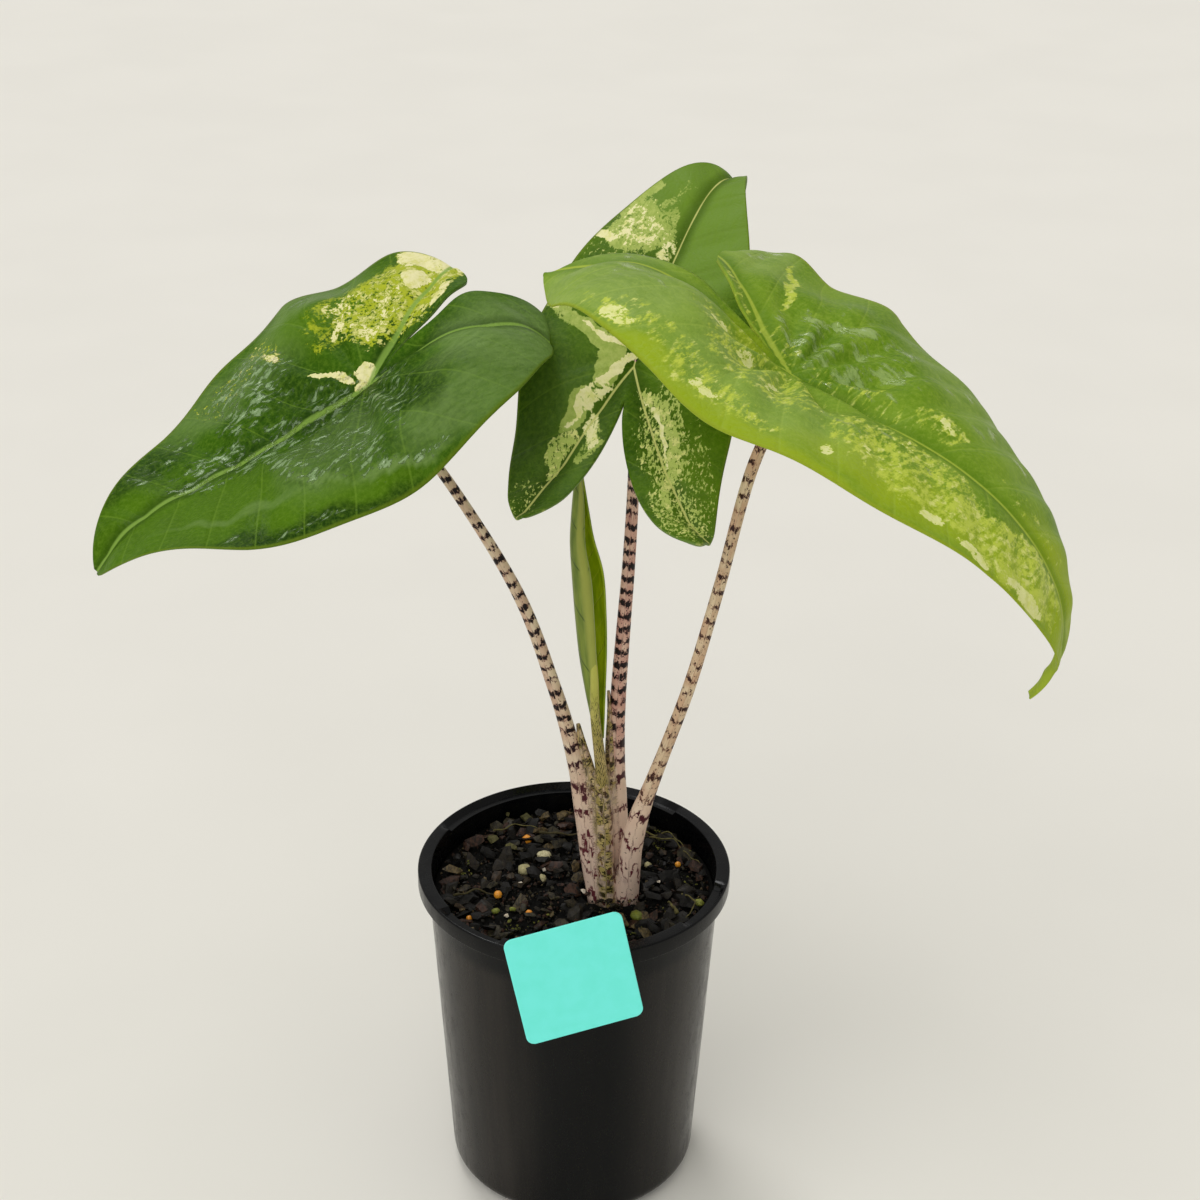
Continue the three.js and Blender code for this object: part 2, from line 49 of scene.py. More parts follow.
POT = {
    "height": 125, "rim_radius": 55, "rim_depth": 6, "rim_floor": 3.2, "skirt": 1.3, "wall": 1.4,
    "floor": 1.8, "base_radius": 44, "taper": 0.061, "corner": 4.6, "facets": 224,
}
DRAIN = {"count": 8, "ring_radius": 31, "radius": 3.5}
LEDGES = {"depth": 2, "reach": 2.6, "arcs": [(-147, -118), (-42, -13), (44, 154)], "ramp": 1.2}
SOIL = {"level": 116, "lump": 1.3, "gap": 0.3}
FOOT = {"x": 13.9, "y": -2.8, "across_x": 9.4, "across_y": 8.6, "top": 102.7, "bottom": 78, "play": 1.0}

# Dimensions of the card

CARD = {
    "side": 40.5, "thick": 0.8, "corner": 3, "lean": 8, "yaw": 10, "turn": 11, "slide": -9.1,
    "level": 108.7, "gap": 0.3, "bevel": 0.25,
}

# Dimensions of the leaves

BLADE = {
    "thick": 0.95, "edge_thick": 0.45, "rib_thick": 1.3, "rib_wide": 2.6, "valley": 0.9,
    "valley_wide": 4.5, "crease": 0.35, "crease_wide": 1.5, "quilt": 0.45, "vein_pitch": 17,
    "vein_slant": 0.55, "dent": 0.3, "dent_wide": 1.6, "wave": 0.9, "wave_pitch": 41,
    "shoulder_wide": 9, "shoulder_clear": 11, "pleats": 11, "pleat_at": 19, "pleat_wide": 12,
    "lobe_rows": 60, "joined_rows": 12, "blade_rows": 110, "columns": 42,
}
OUTLINE = {"notch_curve": 1.4, "lobe_round": 0.76, "tip": 0.05}
LOBE_RIB = 0.42  # sideways run of a lobe's rib for each millimetre back from the stalk

# Places at which the angles of a leaf are given: -1 at the lobe ends, 0 at the stalk, 1 at the tip

PITCH_AT = [-1, -0.3, 0.2, 0.7, 1]
TURN_AT = [-1, 0, 1]
LIFT_AT = [-1, -0.4, 0, 0.6]

# "ahead" and "behind" are a blade's reach from its stalk to the tip and to the ends of its lobes,
# and "half" is its half width. A low "shoulder" runs round the stalk at the distance "bowl", and
# folds as high as "pleat" lie inside it. "bend" is how far the midrib bends to the left. "taper",
# "drip", "joined", "lobe_end", "spread" and "notch" shape the outline. The angles are in degrees:
# "pitch", "heading" and "roll" along the midrib, "lift" and "curl" across each half.

LEAVES = {
    "left": {
        "stalk_end": [-66, -6, 309], "ahead": 104, "behind": {"left": 65, "right": 52}, "half": 54,
        "bowl": 40, "shoulder": 4.5, "pleat": 0.9, "bend": -8, "taper": {"left": 0.75, "right": 0.85},
        "drip": 0, "joined": 0.12, "lobe_end": 0.66, "spread": {"left": -0.2, "right": 0.02},
        "notch": {"left": 0.22, "right": 0.04}, "pitch": [20, -35, -32, -14, -52],
        "heading": [220, 209, 206], "roll": [-5, 5, 15],
        "lift": {"left": [-15, 5, 5, -4], "right": [5, 11, 29, 22]},
        "curl": {"left": [-45, -50, -60, -40], "right": [-15, -25, -35, -10]},
    },
    "middle": {
        "stalk_end": [18, 5, 312], "ahead": 110, "behind": {"left": 68, "right": 84}, "half": 36,
        "bowl": 26, "shoulder": 1.0, "pleat": 0.2, "bend": 0, "taper": {"left": 1.0, "right": 1.15},
        "drip": 0.1, "joined": 0.2, "lobe_end": 0.66, "spread": {"left": 0.15, "right": 0.25},
        "notch": {"left": 0.46, "right": 0.46}, "pitch": [-10, 35, 28, 20, -115],
        "heading": [90, 75, 50], "roll": [0, -5, -5],
        "lift": {"left": [10, 5, 20, 20], "right": [5, 0, 0, 0]},
        "curl": {"left": [-20, -30, -35, -40], "right": [-20, -25, -20, -20]},
    },
    "right": {
        "stalk_end": [63, -61, 337], "ahead": 141, "behind": {"left": 75, "right": 73}, "half": 58,
        "bowl": 38, "shoulder": 3.0, "pleat": 1.5, "bend": 0, "taper": {"left": 1, "right": 1},
        "drip": 0.08, "joined": 0.12, "lobe_end": 0.55, "spread": {"left": 0.4, "right": 0.15},
        "notch": {"left": 0.3, "right": 0.3}, "pitch": [20, -35, -10, -60, -130],
        "heading": [-50, -40, -20], "roll": [-10, -10, -5],
        "lift": {"left": [-5, 0, 20, 0], "right": [-11, 19, 10, -5]},
        "curl": {"left": [5, -5, -35, -75], "right": [-104, -75, -30, -5]},
    },
}

# Stations of the stalks from the foot up, as [x, y, z, half width across X, half width across Y]

STALKS = {
    "left": {
        "stem": [
            [9.4, -3.4, 103.3, 3.8, 4.2], [8.8, -3.6, 114, 3.8, 4.2], [6.4, -3.4, 129, 3.7, 3.9],
            [4.2, -3.2, 145, 3.4, 3.5], [1.2, -2.9, 165, 3.1, 3.1], [-2.8, -2.6, 183, 2.6, 2.6],
            [-7.2, -2.2, 198.5, 2.35, 2.35], [-17.5, -1.6, 229.5, 2.1, 2.1],
            [-32.7, -1.2, 259, 1.8, 1.8], [-50, -1.6, 286, 1.7, 1.7],
        ],
        "sheath": [
            [10.6, -4, 103.3, 3.2, 4], [9.6, -4, 125, 3.2, 3.6], [7.4, -3.8, 148, 3.2, 2.8],
            [5.0, -3.6, 165, 2.4, 1.8], [2.6, -3.4, 176, 1.6, 1.1], [1.2, -3.2, 184, 0.7, 0.6],
        ],
    },
    "middle": {
        "stem": [
            [16.2, 0.9, 103.3, 3.9, 3.9], [15.9, 0.8, 126, 3.7, 3.7], [15.1, 0.6, 143, 3.4, 3.4],
            [14.5, 0.3, 163.5, 3.1, 3.1], [14.4, 0, 180.5, 2.8, 2.8], [14.8, -0.2, 195, 2.65, 2.65],
            [16.3, -0.6, 222.5, 2.35, 2.35], [17.5, -0.9, 243, 2.15, 2.15],
            [18.6, -1.2, 272, 1.95, 1.95], [18.8, -1.0, 296, 1.85, 1.85],
        ],
        "sheath": [
            [13.4, -2.4, 103.3, 2.4, 3], [13.2, -2.2, 130, 2.4, 2.8], [12.6, -1.8, 155, 2.2, 2.4],
            [12.1, -1.5, 175, 1.6, 1.8], [11.9, -1.4, 188, 0.9, 1.1], [11.4, -1.4, 196, 0.5, 0.6],
        ],
    },
    "right": {
        "stem": [
            [18.3, -4.8, 103.3, 3.7, 3.8], [18.9, -5.4, 114, 3.7, 3.8], [19.3, -6.8, 123, 3.6, 3.6],
            [20, -10, 138, 3.5, 3.3], [22.2, -14, 153.5, 3.2, 3], [26.1, -17.8, 169, 2.6, 2.6],
            [30.2, -21.5, 184.5, 2.25, 2.25], [37.6, -28.8, 214, 2.1, 2.1],
            [45.6, -38.8, 255.5, 1.9, 1.9], [55.1, -51.2, 307, 1.85, 1.85],
        ],
    },
    "rolled": {
        "stem": [
            [11.8, -7.2, 103.3, 2.6, 2.5], [11.8, -7.2, 114.5, 2.6, 2.5], [11.2, -6.8, 135, 2.5, 2.3],
            [10.3, -6.3, 155.5, 2.3, 2.1], [8.8, -5.9, 171.5, 1.95, 1.9], [6.9, -5.6, 190, 1.65, 1.6],
            [6.6, -5.6, 203, 1.4, 1.4], [6.2, -4.6, 212, 1.0, 1.0],
        ],
    },
}
STALK_TOP = {"ahead": 0.03, "below": 1.0, "radius": 1.7}

# The rolled leaf: its section runs from one margin, over the midrib in front, round the back

ROLL = {
    "from": -72,  # degrees from +X, where the margin in front lies
    "sweep": -290,  # degrees round by the left and the back to the other margin
    "midrib": (0.06, 0.1),  # share of the way round where the midrib lies, below and above
    "twist": 25,  # degrees by which it is turned further near its top
    "radius": 4.2, "length": 105, "thick": 0.7, "ridge": 0.5, "ridge_wide": 1.3, "grow": -0.06,
    "flare": 0.16,  # how far the margin on the right stands out
    "stem": [
        [8.5, -2.6, 178, 1.6, 1.6], [7.8, -2.4, 187, 2.5, 2.3], [7.0, -2.2, 196, 3.4, 3.0],
        [5.9, -2, 210, 4.5, 3.8], [4.9, -2, 225.5, 5, 4.2], [3.8, -2, 240.5, 5, 4.2],
        [2.0, -2, 253, 3.9, 3.4], [1.5, -2, 262.5, 3.0, 2.7], [1.2, -2, 272, 2.0, 1.9],
        [0.9, -2, 281, 0.8, 0.8],
    ],
}

# The camera: how far it looks down, its roll, the point it looks at and its distance

CAMERA = {
    "pitch": 27.6, "roll": 0.6, "aim": (8.2, 0, 230), "distance": 800, "lens": 72.15, "sensor": 36,
    "sight": 200,  # how far it sees, in metres
}

# Shapes


def along(places, values, x):
    """The value at x of the smooth curve through stations, given as their places and values."""
    places = np.asarray(places, float)
    values = np.asarray(values, float)
    last = len(places) - 1
    x = np.clip(x, places[0], places[-1])
    i = np.clip(np.searchsorted(places, x) - 1, 0, last - 1)
    low = np.maximum(np.arange(last + 1) - 1, 0)
    high = np.minimum(np.arange(last + 1) + 1, last)
    slope = (values[high] - values[low]) / (places[high] - places[low])
    width = places[i + 1] - places[i]
    t = (x - places[i]) / width
    kept = values[i] * (1 + 2 * t) * (1 - t) ** 2 + values[i + 1] * t * t * (3 - 2 * t)
    bent = slope[i] * t * (1 - t) ** 2 + slope[i + 1] * t * t * (t - 1)
    return kept + bent * width


def smooth(x, low, high):
    """0 below low, 1 above high and a smooth rise between them."""
    t = np.clip((np.asarray(x, float) - low) / (high - low), 0, 1)
    return t * t * (3 - 2 * t)


def hill(distance, width):
    """1 in the middle, and smoothly down to near 0 at twice the width."""
    return np.exp(-((distance / width) ** 2))


def uneven(points, size, seed):
    """Repeatable noise from -1 to 1 at each point, with lumps of the given size."""
    at = np.asarray(points, float) / size
    return np.array([noise.noise(Vector((x, y, z + 17.3 * seed))) for x, y, z in at])


def unit(vectors):
    return vectors / np.linalg.norm(vectors, axis=-1, keepdims=True)


def turns(count):
    """Even steps once round, in radians."""
    return np.arange(count) / count * 2 * np.pi


def oval(angle, across_x, across_y, z, x=0.0, y=0.0):
    """Points of a level ellipse about (x, y), at the height z."""
    return np.stack([x + across_x * np.cos(angle), y + across_y * np.sin(angle), np.full(len(angle), z)], 1)


def foot_oval(angle, grow, z):
    """The outline of the stems' foot, grown by some millimetres, at the height z."""
    return oval(angle, FOOT["across_x"] + grow, FOOT["across_y"] + grow, z, FOOT["x"], FOOT["y"])


def grid_faces(rows, columns, closed=False):
    """Quads over a grid of rows by columns points, wrapped round where closed."""
    faces = []
    wide = columns if closed else columns - 1
    for i in range(rows - 1):
        for j in range(wide):
            a = i * columns + j
            b = i * columns + (j + 1) % columns
            faces.append((a, b, b + columns, a + columns))
    return faces


def capped(rows, sides):
    """Faces of a closed rod, with a face at each end."""
    last = (rows - 1) * sides
    ends = [tuple(reversed(range(sides))), tuple(range(last, last + sides))]
    return grid_faces(rows, sides, closed=True) + ends


def point_normals(points, faces):
    faces = np.asarray(faces)
    normals = np.zeros_like(points)
    across = points[faces[:, 2]] - points[faces[:, 0]]
    other = points[faces[:, 3]] - points[faces[:, 1]]
    face_normals = np.cross(across, other)
    for k in range(4):
        np.add.at(normals, faces[:, k], face_normals)
    return normals / np.maximum(np.linalg.norm(normals, axis=1, keepdims=True), 1e-9)


def thicken(points, faces, above, below):
    """Both skins of a sheet and the strip round its edge, as points and faces."""
    normals = point_normals(points, faces)
    count = len(points)
    both = np.vstack([points + normals * above[:, None], points - normals * below[:, None]])
    under = [tuple(k + count for k in reversed(face)) for face in faces]
    edges = {(f[k], f[(k + 1) % 4]) for f in faces for k in range(4)}
    rim = [(b, a, a + count, b + count) for a, b in edges if (b, a) not in edges]
    return both, faces + under + sorted(rim)


# Pieces


def mesh_piece(name, points, faces, material, flat=False, **notes):
    """An object from points in millimetres, with a number or a triple noted for each point."""
    mesh = bpy.data.meshes.new(name)
    mesh.from_pydata((np.asarray(points, float) * MM).tolist(), [], faces)
    mesh.update()
    if not flat:
        mesh.shade_smooth()
    mesh.materials.append(material)
    piece = bpy.data.objects.new(name, mesh)
    bpy.context.scene.collection.objects.link(piece)
    note(piece, **notes)
    return piece


def note(piece, **notes):
    """Stores values under their names for each point, for the material to read."""
    for name, values in notes.items():
        values = np.asarray(values, np.float32)
        kind, key = ("FLOAT", "value") if values.ndim == 1 else ("FLOAT_VECTOR", "vector")
        layer = piece.data.attributes.new(name, kind, "POINT")
        layer.data.foreach_set(key, values.ravel())


def dress(piece, slot, *nodes):
    """Fixes a piece to the plant and hides the solids it stands for. Its slot is not used."""
    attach(piece, BODY)
    if nodes:
        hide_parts(*nodes)


def settle(piece):
    """Applies a piece's modifiers to its mesh."""
    graph = bpy.context.evaluated_depsgraph_get()
    made = bpy.data.meshes.new_from_object(piece.evaluated_get(graph))
    piece.modifiers.clear()
    piece.data = made


class Joined:
    """Several shapes that become one piece, with the notes on their points."""

    def __init__(self):
        self.count = 0
        self.points = []
        self.faces = []
        self.notes = {}

    def add(self, points, faces, **notes):
        self.faces += [tuple(k + self.count for k in face) for face in faces]
        self.points.append(points)
        self.count += len(points)
        for name, values in notes.items():
            self.notes.setdefault(name, []).append(values)

    def piece(self, name, material, flat=False):
        notes = {key: np.concatenate(values) for key, values in self.notes.items()}
        return mesh_piece(name, np.vstack(self.points), self.faces, material, flat, **notes)


# Materials


def tint(red, green, blue):
    """A colour as the eye reads it, from 0 to 255, made into the light values a shader takes."""
    values = np.array([red, green, blue]) / 255
    linear = np.where(values <= 0.04045, values / 12.92, ((values + 0.055) / 1.055) ** 2.4)
    return (*linear.tolist(), 1.0)


class Field:
    """A value or colour that changes over a surface: the output of a node, with its sums."""

    def __init__(self, look, socket):
        self.look = look
        self.socket = socket

    def __add__(self, other):
        return self.look.math("ADD", self, other)

    def __sub__(self, other):
        return self.look.math("SUBTRACT", self, other)

    def __rsub__(self, other):
        return self.look.math("SUBTRACT", other, self)

    def __mul__(self, other):
        return self.look.math("MULTIPLY", self, other)

    def __truediv__(self, other):
        return self.look.math("DIVIDE", self, other)

    def __abs__(self):
        return self.look.math("ABSOLUTE", self)


class Look:
    """A material under construction: each call adds one node and returns its field."""

    def __init__(self, name):
        self.material = bpy.data.materials.new(name)
        self.material.use_nodes = True
        self.tree = self.material.node_tree
        self.tree.nodes.clear()

    def node(self, kind, inputs, **settings):
        node = self.tree.nodes.new("ShaderNode" + kind)
        for key, value in settings.items():
            setattr(node, key, value)
        for key, value in inputs.items():
            if isinstance(value, Field):
                self.tree.links.new(value.socket, node.inputs[key])
            else:
                node.inputs[key].default_value = value
        return node

    def add(self, kind, inputs, output=0, **settings):
        return Field(self, self.node(kind, inputs, **settings).outputs[output])

    def note(self, name):
        """A number that is stored with the points."""
        return self.add("Attribute", {}, "Fac", attribute_name=name)

    def triple(self, name):
        """Three numbers that are stored with the points, and the same three apart."""
        vector = self.add("Attribute", {}, "Vector", attribute_name=name)
        return vector, self.parts(vector)

    def parts(self, vector):
        return [Field(self, output) for output in self.node("SeparateXYZ", {0: vector}).outputs]

    def place(self):
        """The point's place on the object, in millimetres."""
        return self.scaled(self.add("TexCoord", {}, "Object"), 1000, 1000, 1000)

    def scaled(self, vector, x=1, y=1, z=1):
        return self.add("VectorMath", {0: vector, 1: (x, y, z)}, operation="MULTIPLY")

    def math(self, operation, a, b=0.0):
        return self.add("Math", {0: a, 1: b}, operation=operation)

    def fold(self, value, top):
        """The value folded to and fro between 0 and top."""
        return self.math("PINGPONG", value, top)

    def rise(self, value, low, high, start=0.0, end=1.0):
        """A smooth change from start to end as the value goes from low to high."""
        inputs = {"Value": value, "From Min": low, "From Max": high, "To Min": start, "To Max": end}
        return self.add("MapRange", inputs, interpolation_type="SMOOTHSTEP")

    def line(self, distance, half_width):
        """1 on a line and 0 beyond its half width, from the distance to its middle."""
        return self.rise(distance, half_width * 0.35, half_width, 1.0, 0.0)

    def noise(self, vector, size, detail=2.0, roughness=0.5, warp=0.0):
        """Noise about 0.5 with lumps of the given size."""
        inputs = {
            "Vector": vector,
            "Scale": 1 / size,
            "Detail": detail,
            "Roughness": roughness,
            "Distortion": warp,
        }
        return self.add("TexNoise", inputs, "Fac")

    def cells(self, vector, size):
        """The distance to the nearest edge between uneven cells."""
        inputs = {"Vector": vector, "Scale": 1 / size}
        return self.add("TexVoronoi", inputs, "Distance", feature="DISTANCE_TO_EDGE")

    def mix(self, share, low, high):
        """The colour low where the share is 0, and high where it is 1."""
        return self.add("Mix", {0: share, 6: low, 7: high}, 2, data_type="RGBA")

    def over(self, under, top, value, low, high, share=1.0):
        """Lays a colour over another where the value rises from low to high, up to the share."""
        return self.mix(self.rise(value, low, high, 0.0, share), under, top)

    def bump(self, height, depth, normal=None):
        """Raises the surface by height, from 0 to 1, times the depth in millimetres."""
        inputs = {"Height": height, "Distance": depth * MM, "Strength": 1.0}
        if normal is not None:
            inputs["Normal"] = normal
        return self.add("Bump", inputs)

    def skin(self, colour, roughness, normal=None, **constants):
        """Ends the material with its shader."""
        inputs = {"Base Color": colour, "Roughness": roughness}
        inputs.update({key.replace("_", " "): value for key, value in constants.items()})
        if normal is not None:
            inputs["Normal"] = normal
        self.node("OutputMaterial", {"Surface": self.add("BsdfPrincipled", inputs)})
        return self.material


def leaf_look(name, tones):
    """A variegated leaf blade. Its patches follow the notes on the blade's points."""
    look = Look(name)
    flat, (_, _, under) = look.triple("leaf")
    upper = 1.0 - under
    _, (phase, rib, share) = look.triple("veins")

    # The green skin with its veins
    cloud = look.noise(flat, 20, detail=4)
    grain = look.noise(flat, 1.6, detail=4, roughness=0.65)
    green = look.over(tones["deep"], tones["mid"], cloud, 0.32, 0.68)
    # Painted sunlight and painted shade: lighter and darker green where the sun and shade patches lie
    green = look.mix(look.note("sun"), green, tones["light"])
    green = look.mix(look.note("shade"), green, tones["dark"])
    green = look.over(green, tones["vein"], grain, 0.38, 0.72, 0.35)
    side = look.fold(phase, 0.5) * BLADE["vein_pitch"]
    side_line = look.line(side, 0.45)
    main_line = look.line(abs(rib), tones["rib_width"])
    net = look.cells(flat, 2.0)
    green = look.mix(look.rise(net, 0.0, 0.07, tones["net"], 0.0), green, tones["vein"])
    green = look.mix(side_line * tones["veins"], green, tones["vein"])

    # Water lies in thin wavy sheets, smooth and shiny, with painted reflections on them
    # and painted shade between them
    broad = look.noise(flat, 11, detail=2)
    wet_and_painted_reflection = look.note("wet_and_painted_reflection") * look.rise(broad, 0.36, 0.56, 0.72, 1.0) * upper
    run = look.scaled(flat, 0.5, 1.3)
    drift = look.noise(run, tones["drift"], detail=6, roughness=0.64, warp=0.4)
    film = drift + wet_and_painted_reflection * 0.36
    sheet = look.rise(film, 0.8, 0.86)
    # Painted shade: the skin between the water sheets is darkened
    painted_hollow_shade = look.rise(film, 0.74, 0.6) * look.rise(wet_and_painted_reflection, 0.35, 0.8, 0.0, 0.6)
    green = look.mix(painted_hollow_shade, green, tones["dark"])
    # Painted sheen where the haze patches lie: broad pale areas and thin highlight lines along the folds
    satin = look.note("haze") * look.rise(drift, 0.3, 0.7, 0.6, 1.0)
    green = look.mix(satin * upper, green, tones["satin"])
    # Painted reflections of the bright surroundings on the water sheets, painted glints at their cores
    green = look.over(green, tones["painted_reflection"], film, 0.76, 0.92, tones["painted_reflection_share"])
    green = look.over(green, tones["glint"], film, 0.93, 1.03, tones["glint_share"])
    # Painted shade in the groove on both sides of the midrib
    painted_groove_shade = look.rise(abs(rib), 1.0, 5.0, 0.5, 0.0) * upper
    green = look.mix(painted_groove_shade, green, tones["dark"])

    # Flecks, pale patches and cream patches, each with a broken edge
    stretched = look.scaled(flat, y=tones["streak"])
    streaks = look.noise(stretched, 4.2, detail=6, roughness=0.7, warp=0.7)
    crumbs = look.noise(flat, 1.0, detail=2, roughness=0.6)
    wild = streaks * 0.66 + crumbs * 0.34
    thin = look.noise(flat, 3.2, detail=5, roughness=0.7)
    drawn = look.scaled(flat, tones["fleck_long"], tones["fleck_wide"])
    flecks = look.noise(drawn, tones["fleck_size"], detail=4, roughness=0.65)
    flecks = flecks * 0.7 + streaks * 0.3
    fleck_level = flecks + (look.note("fleck") - 1.0)
    pale_level = wild + (look.note("pale") - 1.0)
    cream_level = wild + (look.note("cream") - 1.0)
    pale = look.over(tones["pale"], tones["haze"], thin, 0.4, 0.62)
    cream = look.over(tones["cream"], tones["ivory"], thin, 0.42, 0.66)
    colour = look.over(green, pale, pale_level, -0.03, 0.05, 0.85)
    fleck = look.over(pale, tones["ivory"], thin, 0.48, 0.6)
    colour = look.over(colour, fleck, fleck_level, -tones["soft"], tones["soft"])
    colour = look.over(colour, pale, cream_level, -0.05, -0.01, 0.75)
    colour = look.over(colour, cream, cream_level, 0.0, 0.03)
    colour = look.mix(main_line * tones["midrib"], colour, tones["rib"])
    colour = look.over(colour, tones["edge"], share, 0.965, 0.99, 0.8)
    beneath = look.mix(main_line * 0.7, tones["under"], tones["rib"])
    beneath = look.mix(side_line * 0.5, beneath, tones["rib"])
    colour = look.mix(under, colour, beneath)

    waves = drift * sheet * tones["film"]
    skin = look.rise(net, 0.0, 0.22) * 0.2 + look.rise(side, 0.0, 1.6, 0.0, 0.6)
    normal = look.bump(skin + waves, 0.25)
    dry = look.rise(cloud, 0.3, 0.7, tones["rough"] - 0.05, tones["rough"] + 0.08)
    rough = dry - sheet * (tones["rough"] - 0.16)
    shine = look.rise(sheet, 0.0, 1.0, tones["shine"], tones["shine"] + 0.4)
    return look.skin(colour, rough, normal, Specular_IOR_Level=shine)


def stalk_look(name, tones):
    """A leaf stalk with broken dark rings, and dense specks where it is young."""
    look = Look(name)
    flat, (_, length, _) = look.triple("stalk")
    phase = look.note("phase")
    low = look.rise(length, 25, 85, 1.0, 0.0)

    # The rings: "level" is above 0 inside a ring, and "phase" counts them along the stalk
    zigzag = look.noise(look.scaled(flat, y=0.22), 2.6, detail=2, roughness=0.6)
    jag = look.noise(flat, 1.1, detail=3, roughness=0.7)
    moved = (zigzag - 0.5) * (low * 1.9 + tones["swing"])
    steady = 1.0 - low * 0.75
    moved = moved + (jag - 0.5) * 0.9 * steady
    ring = look.fold(phase + moved, 0.5)
    breaks = look.noise(look.scaled(flat, y=0.5), 2.6, detail=2)
    width = look.rise(breaks, 0.33, 0.62, tones["gaps"], tones["thick"]) * (1.0 - low * 0.45)
    blots = look.noise(flat, 2.3, detail=3, roughness=0.6)
    level = (width - ring) + (blots - 0.5) * 0.5 * steady

    # The skin between them, paler and pinker in the foot
    cloud = look.noise(flat, 9, detail=3)
    base = look.over(tones["base"], tones["warm"], cloud, 0.35, 0.65)
    base = look.mix(low, base, tones["foot"])
    smear = look.noise(look.scaled(flat, y=0.16), 1.3, detail=3, roughness=0.6)
    base = look.over(base, tones["blush"], smear, 0.55, 0.75, tones["smears"])
    colour = look.over(base, tones["blush"], level, -0.08, 0.0, 0.8)
    colour = look.over(colour, look.mix(low, tones["band"], tones["blush"]), level, 0.0, 0.04)
    specks = look.noise(look.scaled(flat, y=0.7), 0.85, detail=2, roughness=0.5)
    dotted = look.rise(specks, tones["dots"], tones["dots"] + 0.03, 0.0, 0.9)
    colour = look.mix(dotted, colour, tones["band"])

    # Olive skin with dark curls where it is young
    curls = look.noise(look.scaled(flat, y=1.3), 1.7, detail=2, roughness=0.55, warp=0.8)
    patchy = look.rise(look.noise(flat, 3.5, detail=3), 0.35, 0.6, 0.4, 1.0)
    olive = look.over(tones["olive"], tones["straw"], cloud, 0.35, 0.65)
    olive = look.over(olive, tones["speck"], curls, 0.48, 0.52, 0.95)
    colour = look.mix(look.note("young") * patchy, colour, olive)

    fibre = look.noise(look.scaled(flat, y=0.05), 0.7, detail=2)
    colour = look.add("HueSaturation", {"Color": colour, "Value": fibre * 0.14 + 0.93})
    normal = look.bump(fibre + zigzag * 0.5, 0.1)
    rough = look.rise(cloud, 0.3, 0.7, 0.4, 0.52)
    return look.skin(colour, rough, normal, Specular_IOR_Level=0.2)


def young_look(name, tones):
    """The stalk of the rolled leaf: olive with fine dark arcs that fade out towards its top."""
    look = Look(name)
    flat, (around, length, _) = look.triple("stalk")
    cloud = look.noise(flat, 7, detail=3)
    base = look.over(tones["straw"], tones["olive"], cloud, 0.35, 0.65)
    base = look.over(base, tones["fresh"], length, 68, 104)
    jag = look.noise(flat, 1.2, detail=3, roughness=0.7)
    bowed = length + around * around * 0.25
    ring = look.fold(bowed / 2.2 + jag * 1.5, 0.5)
    breaks = look.noise(look.scaled(flat, y=0.8), 1.4, detail=2)
    gaps = look.rise(breaks, 0.4, 0.58, -0.05, 0.24)
    fade = look.rise(length, 84, 102, 1.0, 0.0)
    arcs = look.rise(gaps - ring, 0.0, 0.04) * fade
    colour = look.mix(arcs, base, tones["speck"])
    normal = look.bump(look.noise(look.scaled(flat, y=0.05), 0.6, detail=2), 0.1)
    return look.skin(colour, look.rise(cloud, 0.3, 0.7, 0.38, 0.5), normal, Specular_IOR_Level=0.25)


def rolled_look(name):
    """The rolled leaf: grey green outside with a pale midrib, bright green where it shows inside, painted
    brighter than its own green as painted light.
    """
    look = Look(name)
    flat, (across, length, turn) = look.triple("roll")
    pitch = 15
    cloud = look.noise(look.scaled(flat, y=0.25), 2.4, detail=3)
    streak = look.noise(look.scaled(flat, y=0.03), 0.9, detail=3, roughness=0.6)
    away = abs(across)
    outer = look.over(tint(100, 120, 42), tint(130, 146, 58), cloud, 0.3, 0.7)
    outer = look.over(outer, tint(160, 172, 104), streak, 0.5, 0.7, 0.35)
    rib = look.rise(away, 0.5, 2.6, 1.0, 0.0)
    outer = look.mix(rib * 0.75, outer, tint(164, 168, 76))
    slanted = (length - away) / pitch
    crease = look.line(look.fold(slanted, 0.5) * pitch, 0.45) * look.rise(away, 1.2, 2.2)
    # Painted shade along the slanted creases, which the bump also sinks
    outer = look.mix(crease * 0.7, outer, tint(62, 84, 34))
    outer = look.mix(look.rise(turn, 0.0, 0.012, 0.7, 0.0), outer, tint(178, 186, 128))
    # Inside: the leaf's own bright green, painted brighter as painted light where the roll shades it
    inner = look.over(tint(138, 166, 6), tint(180, 200, 22), cloud, 0.3, 0.7)
    veins = look.line(look.fold(slanted, 0.25) * pitch, 0.35)
    inner = look.mix(veins * 0.5, inner, tint(184, 196, 60))
    colour = look.mix(look.note("inside"), outer, inner)
    rough = look.rise(cloud, 0.3, 0.7, 0.36, 0.48)
    return look.skin(colour, rough, look.bump(streak * 0.6 - crease, 0.2), Specular_IOR_Level=0.25)


# Leaves


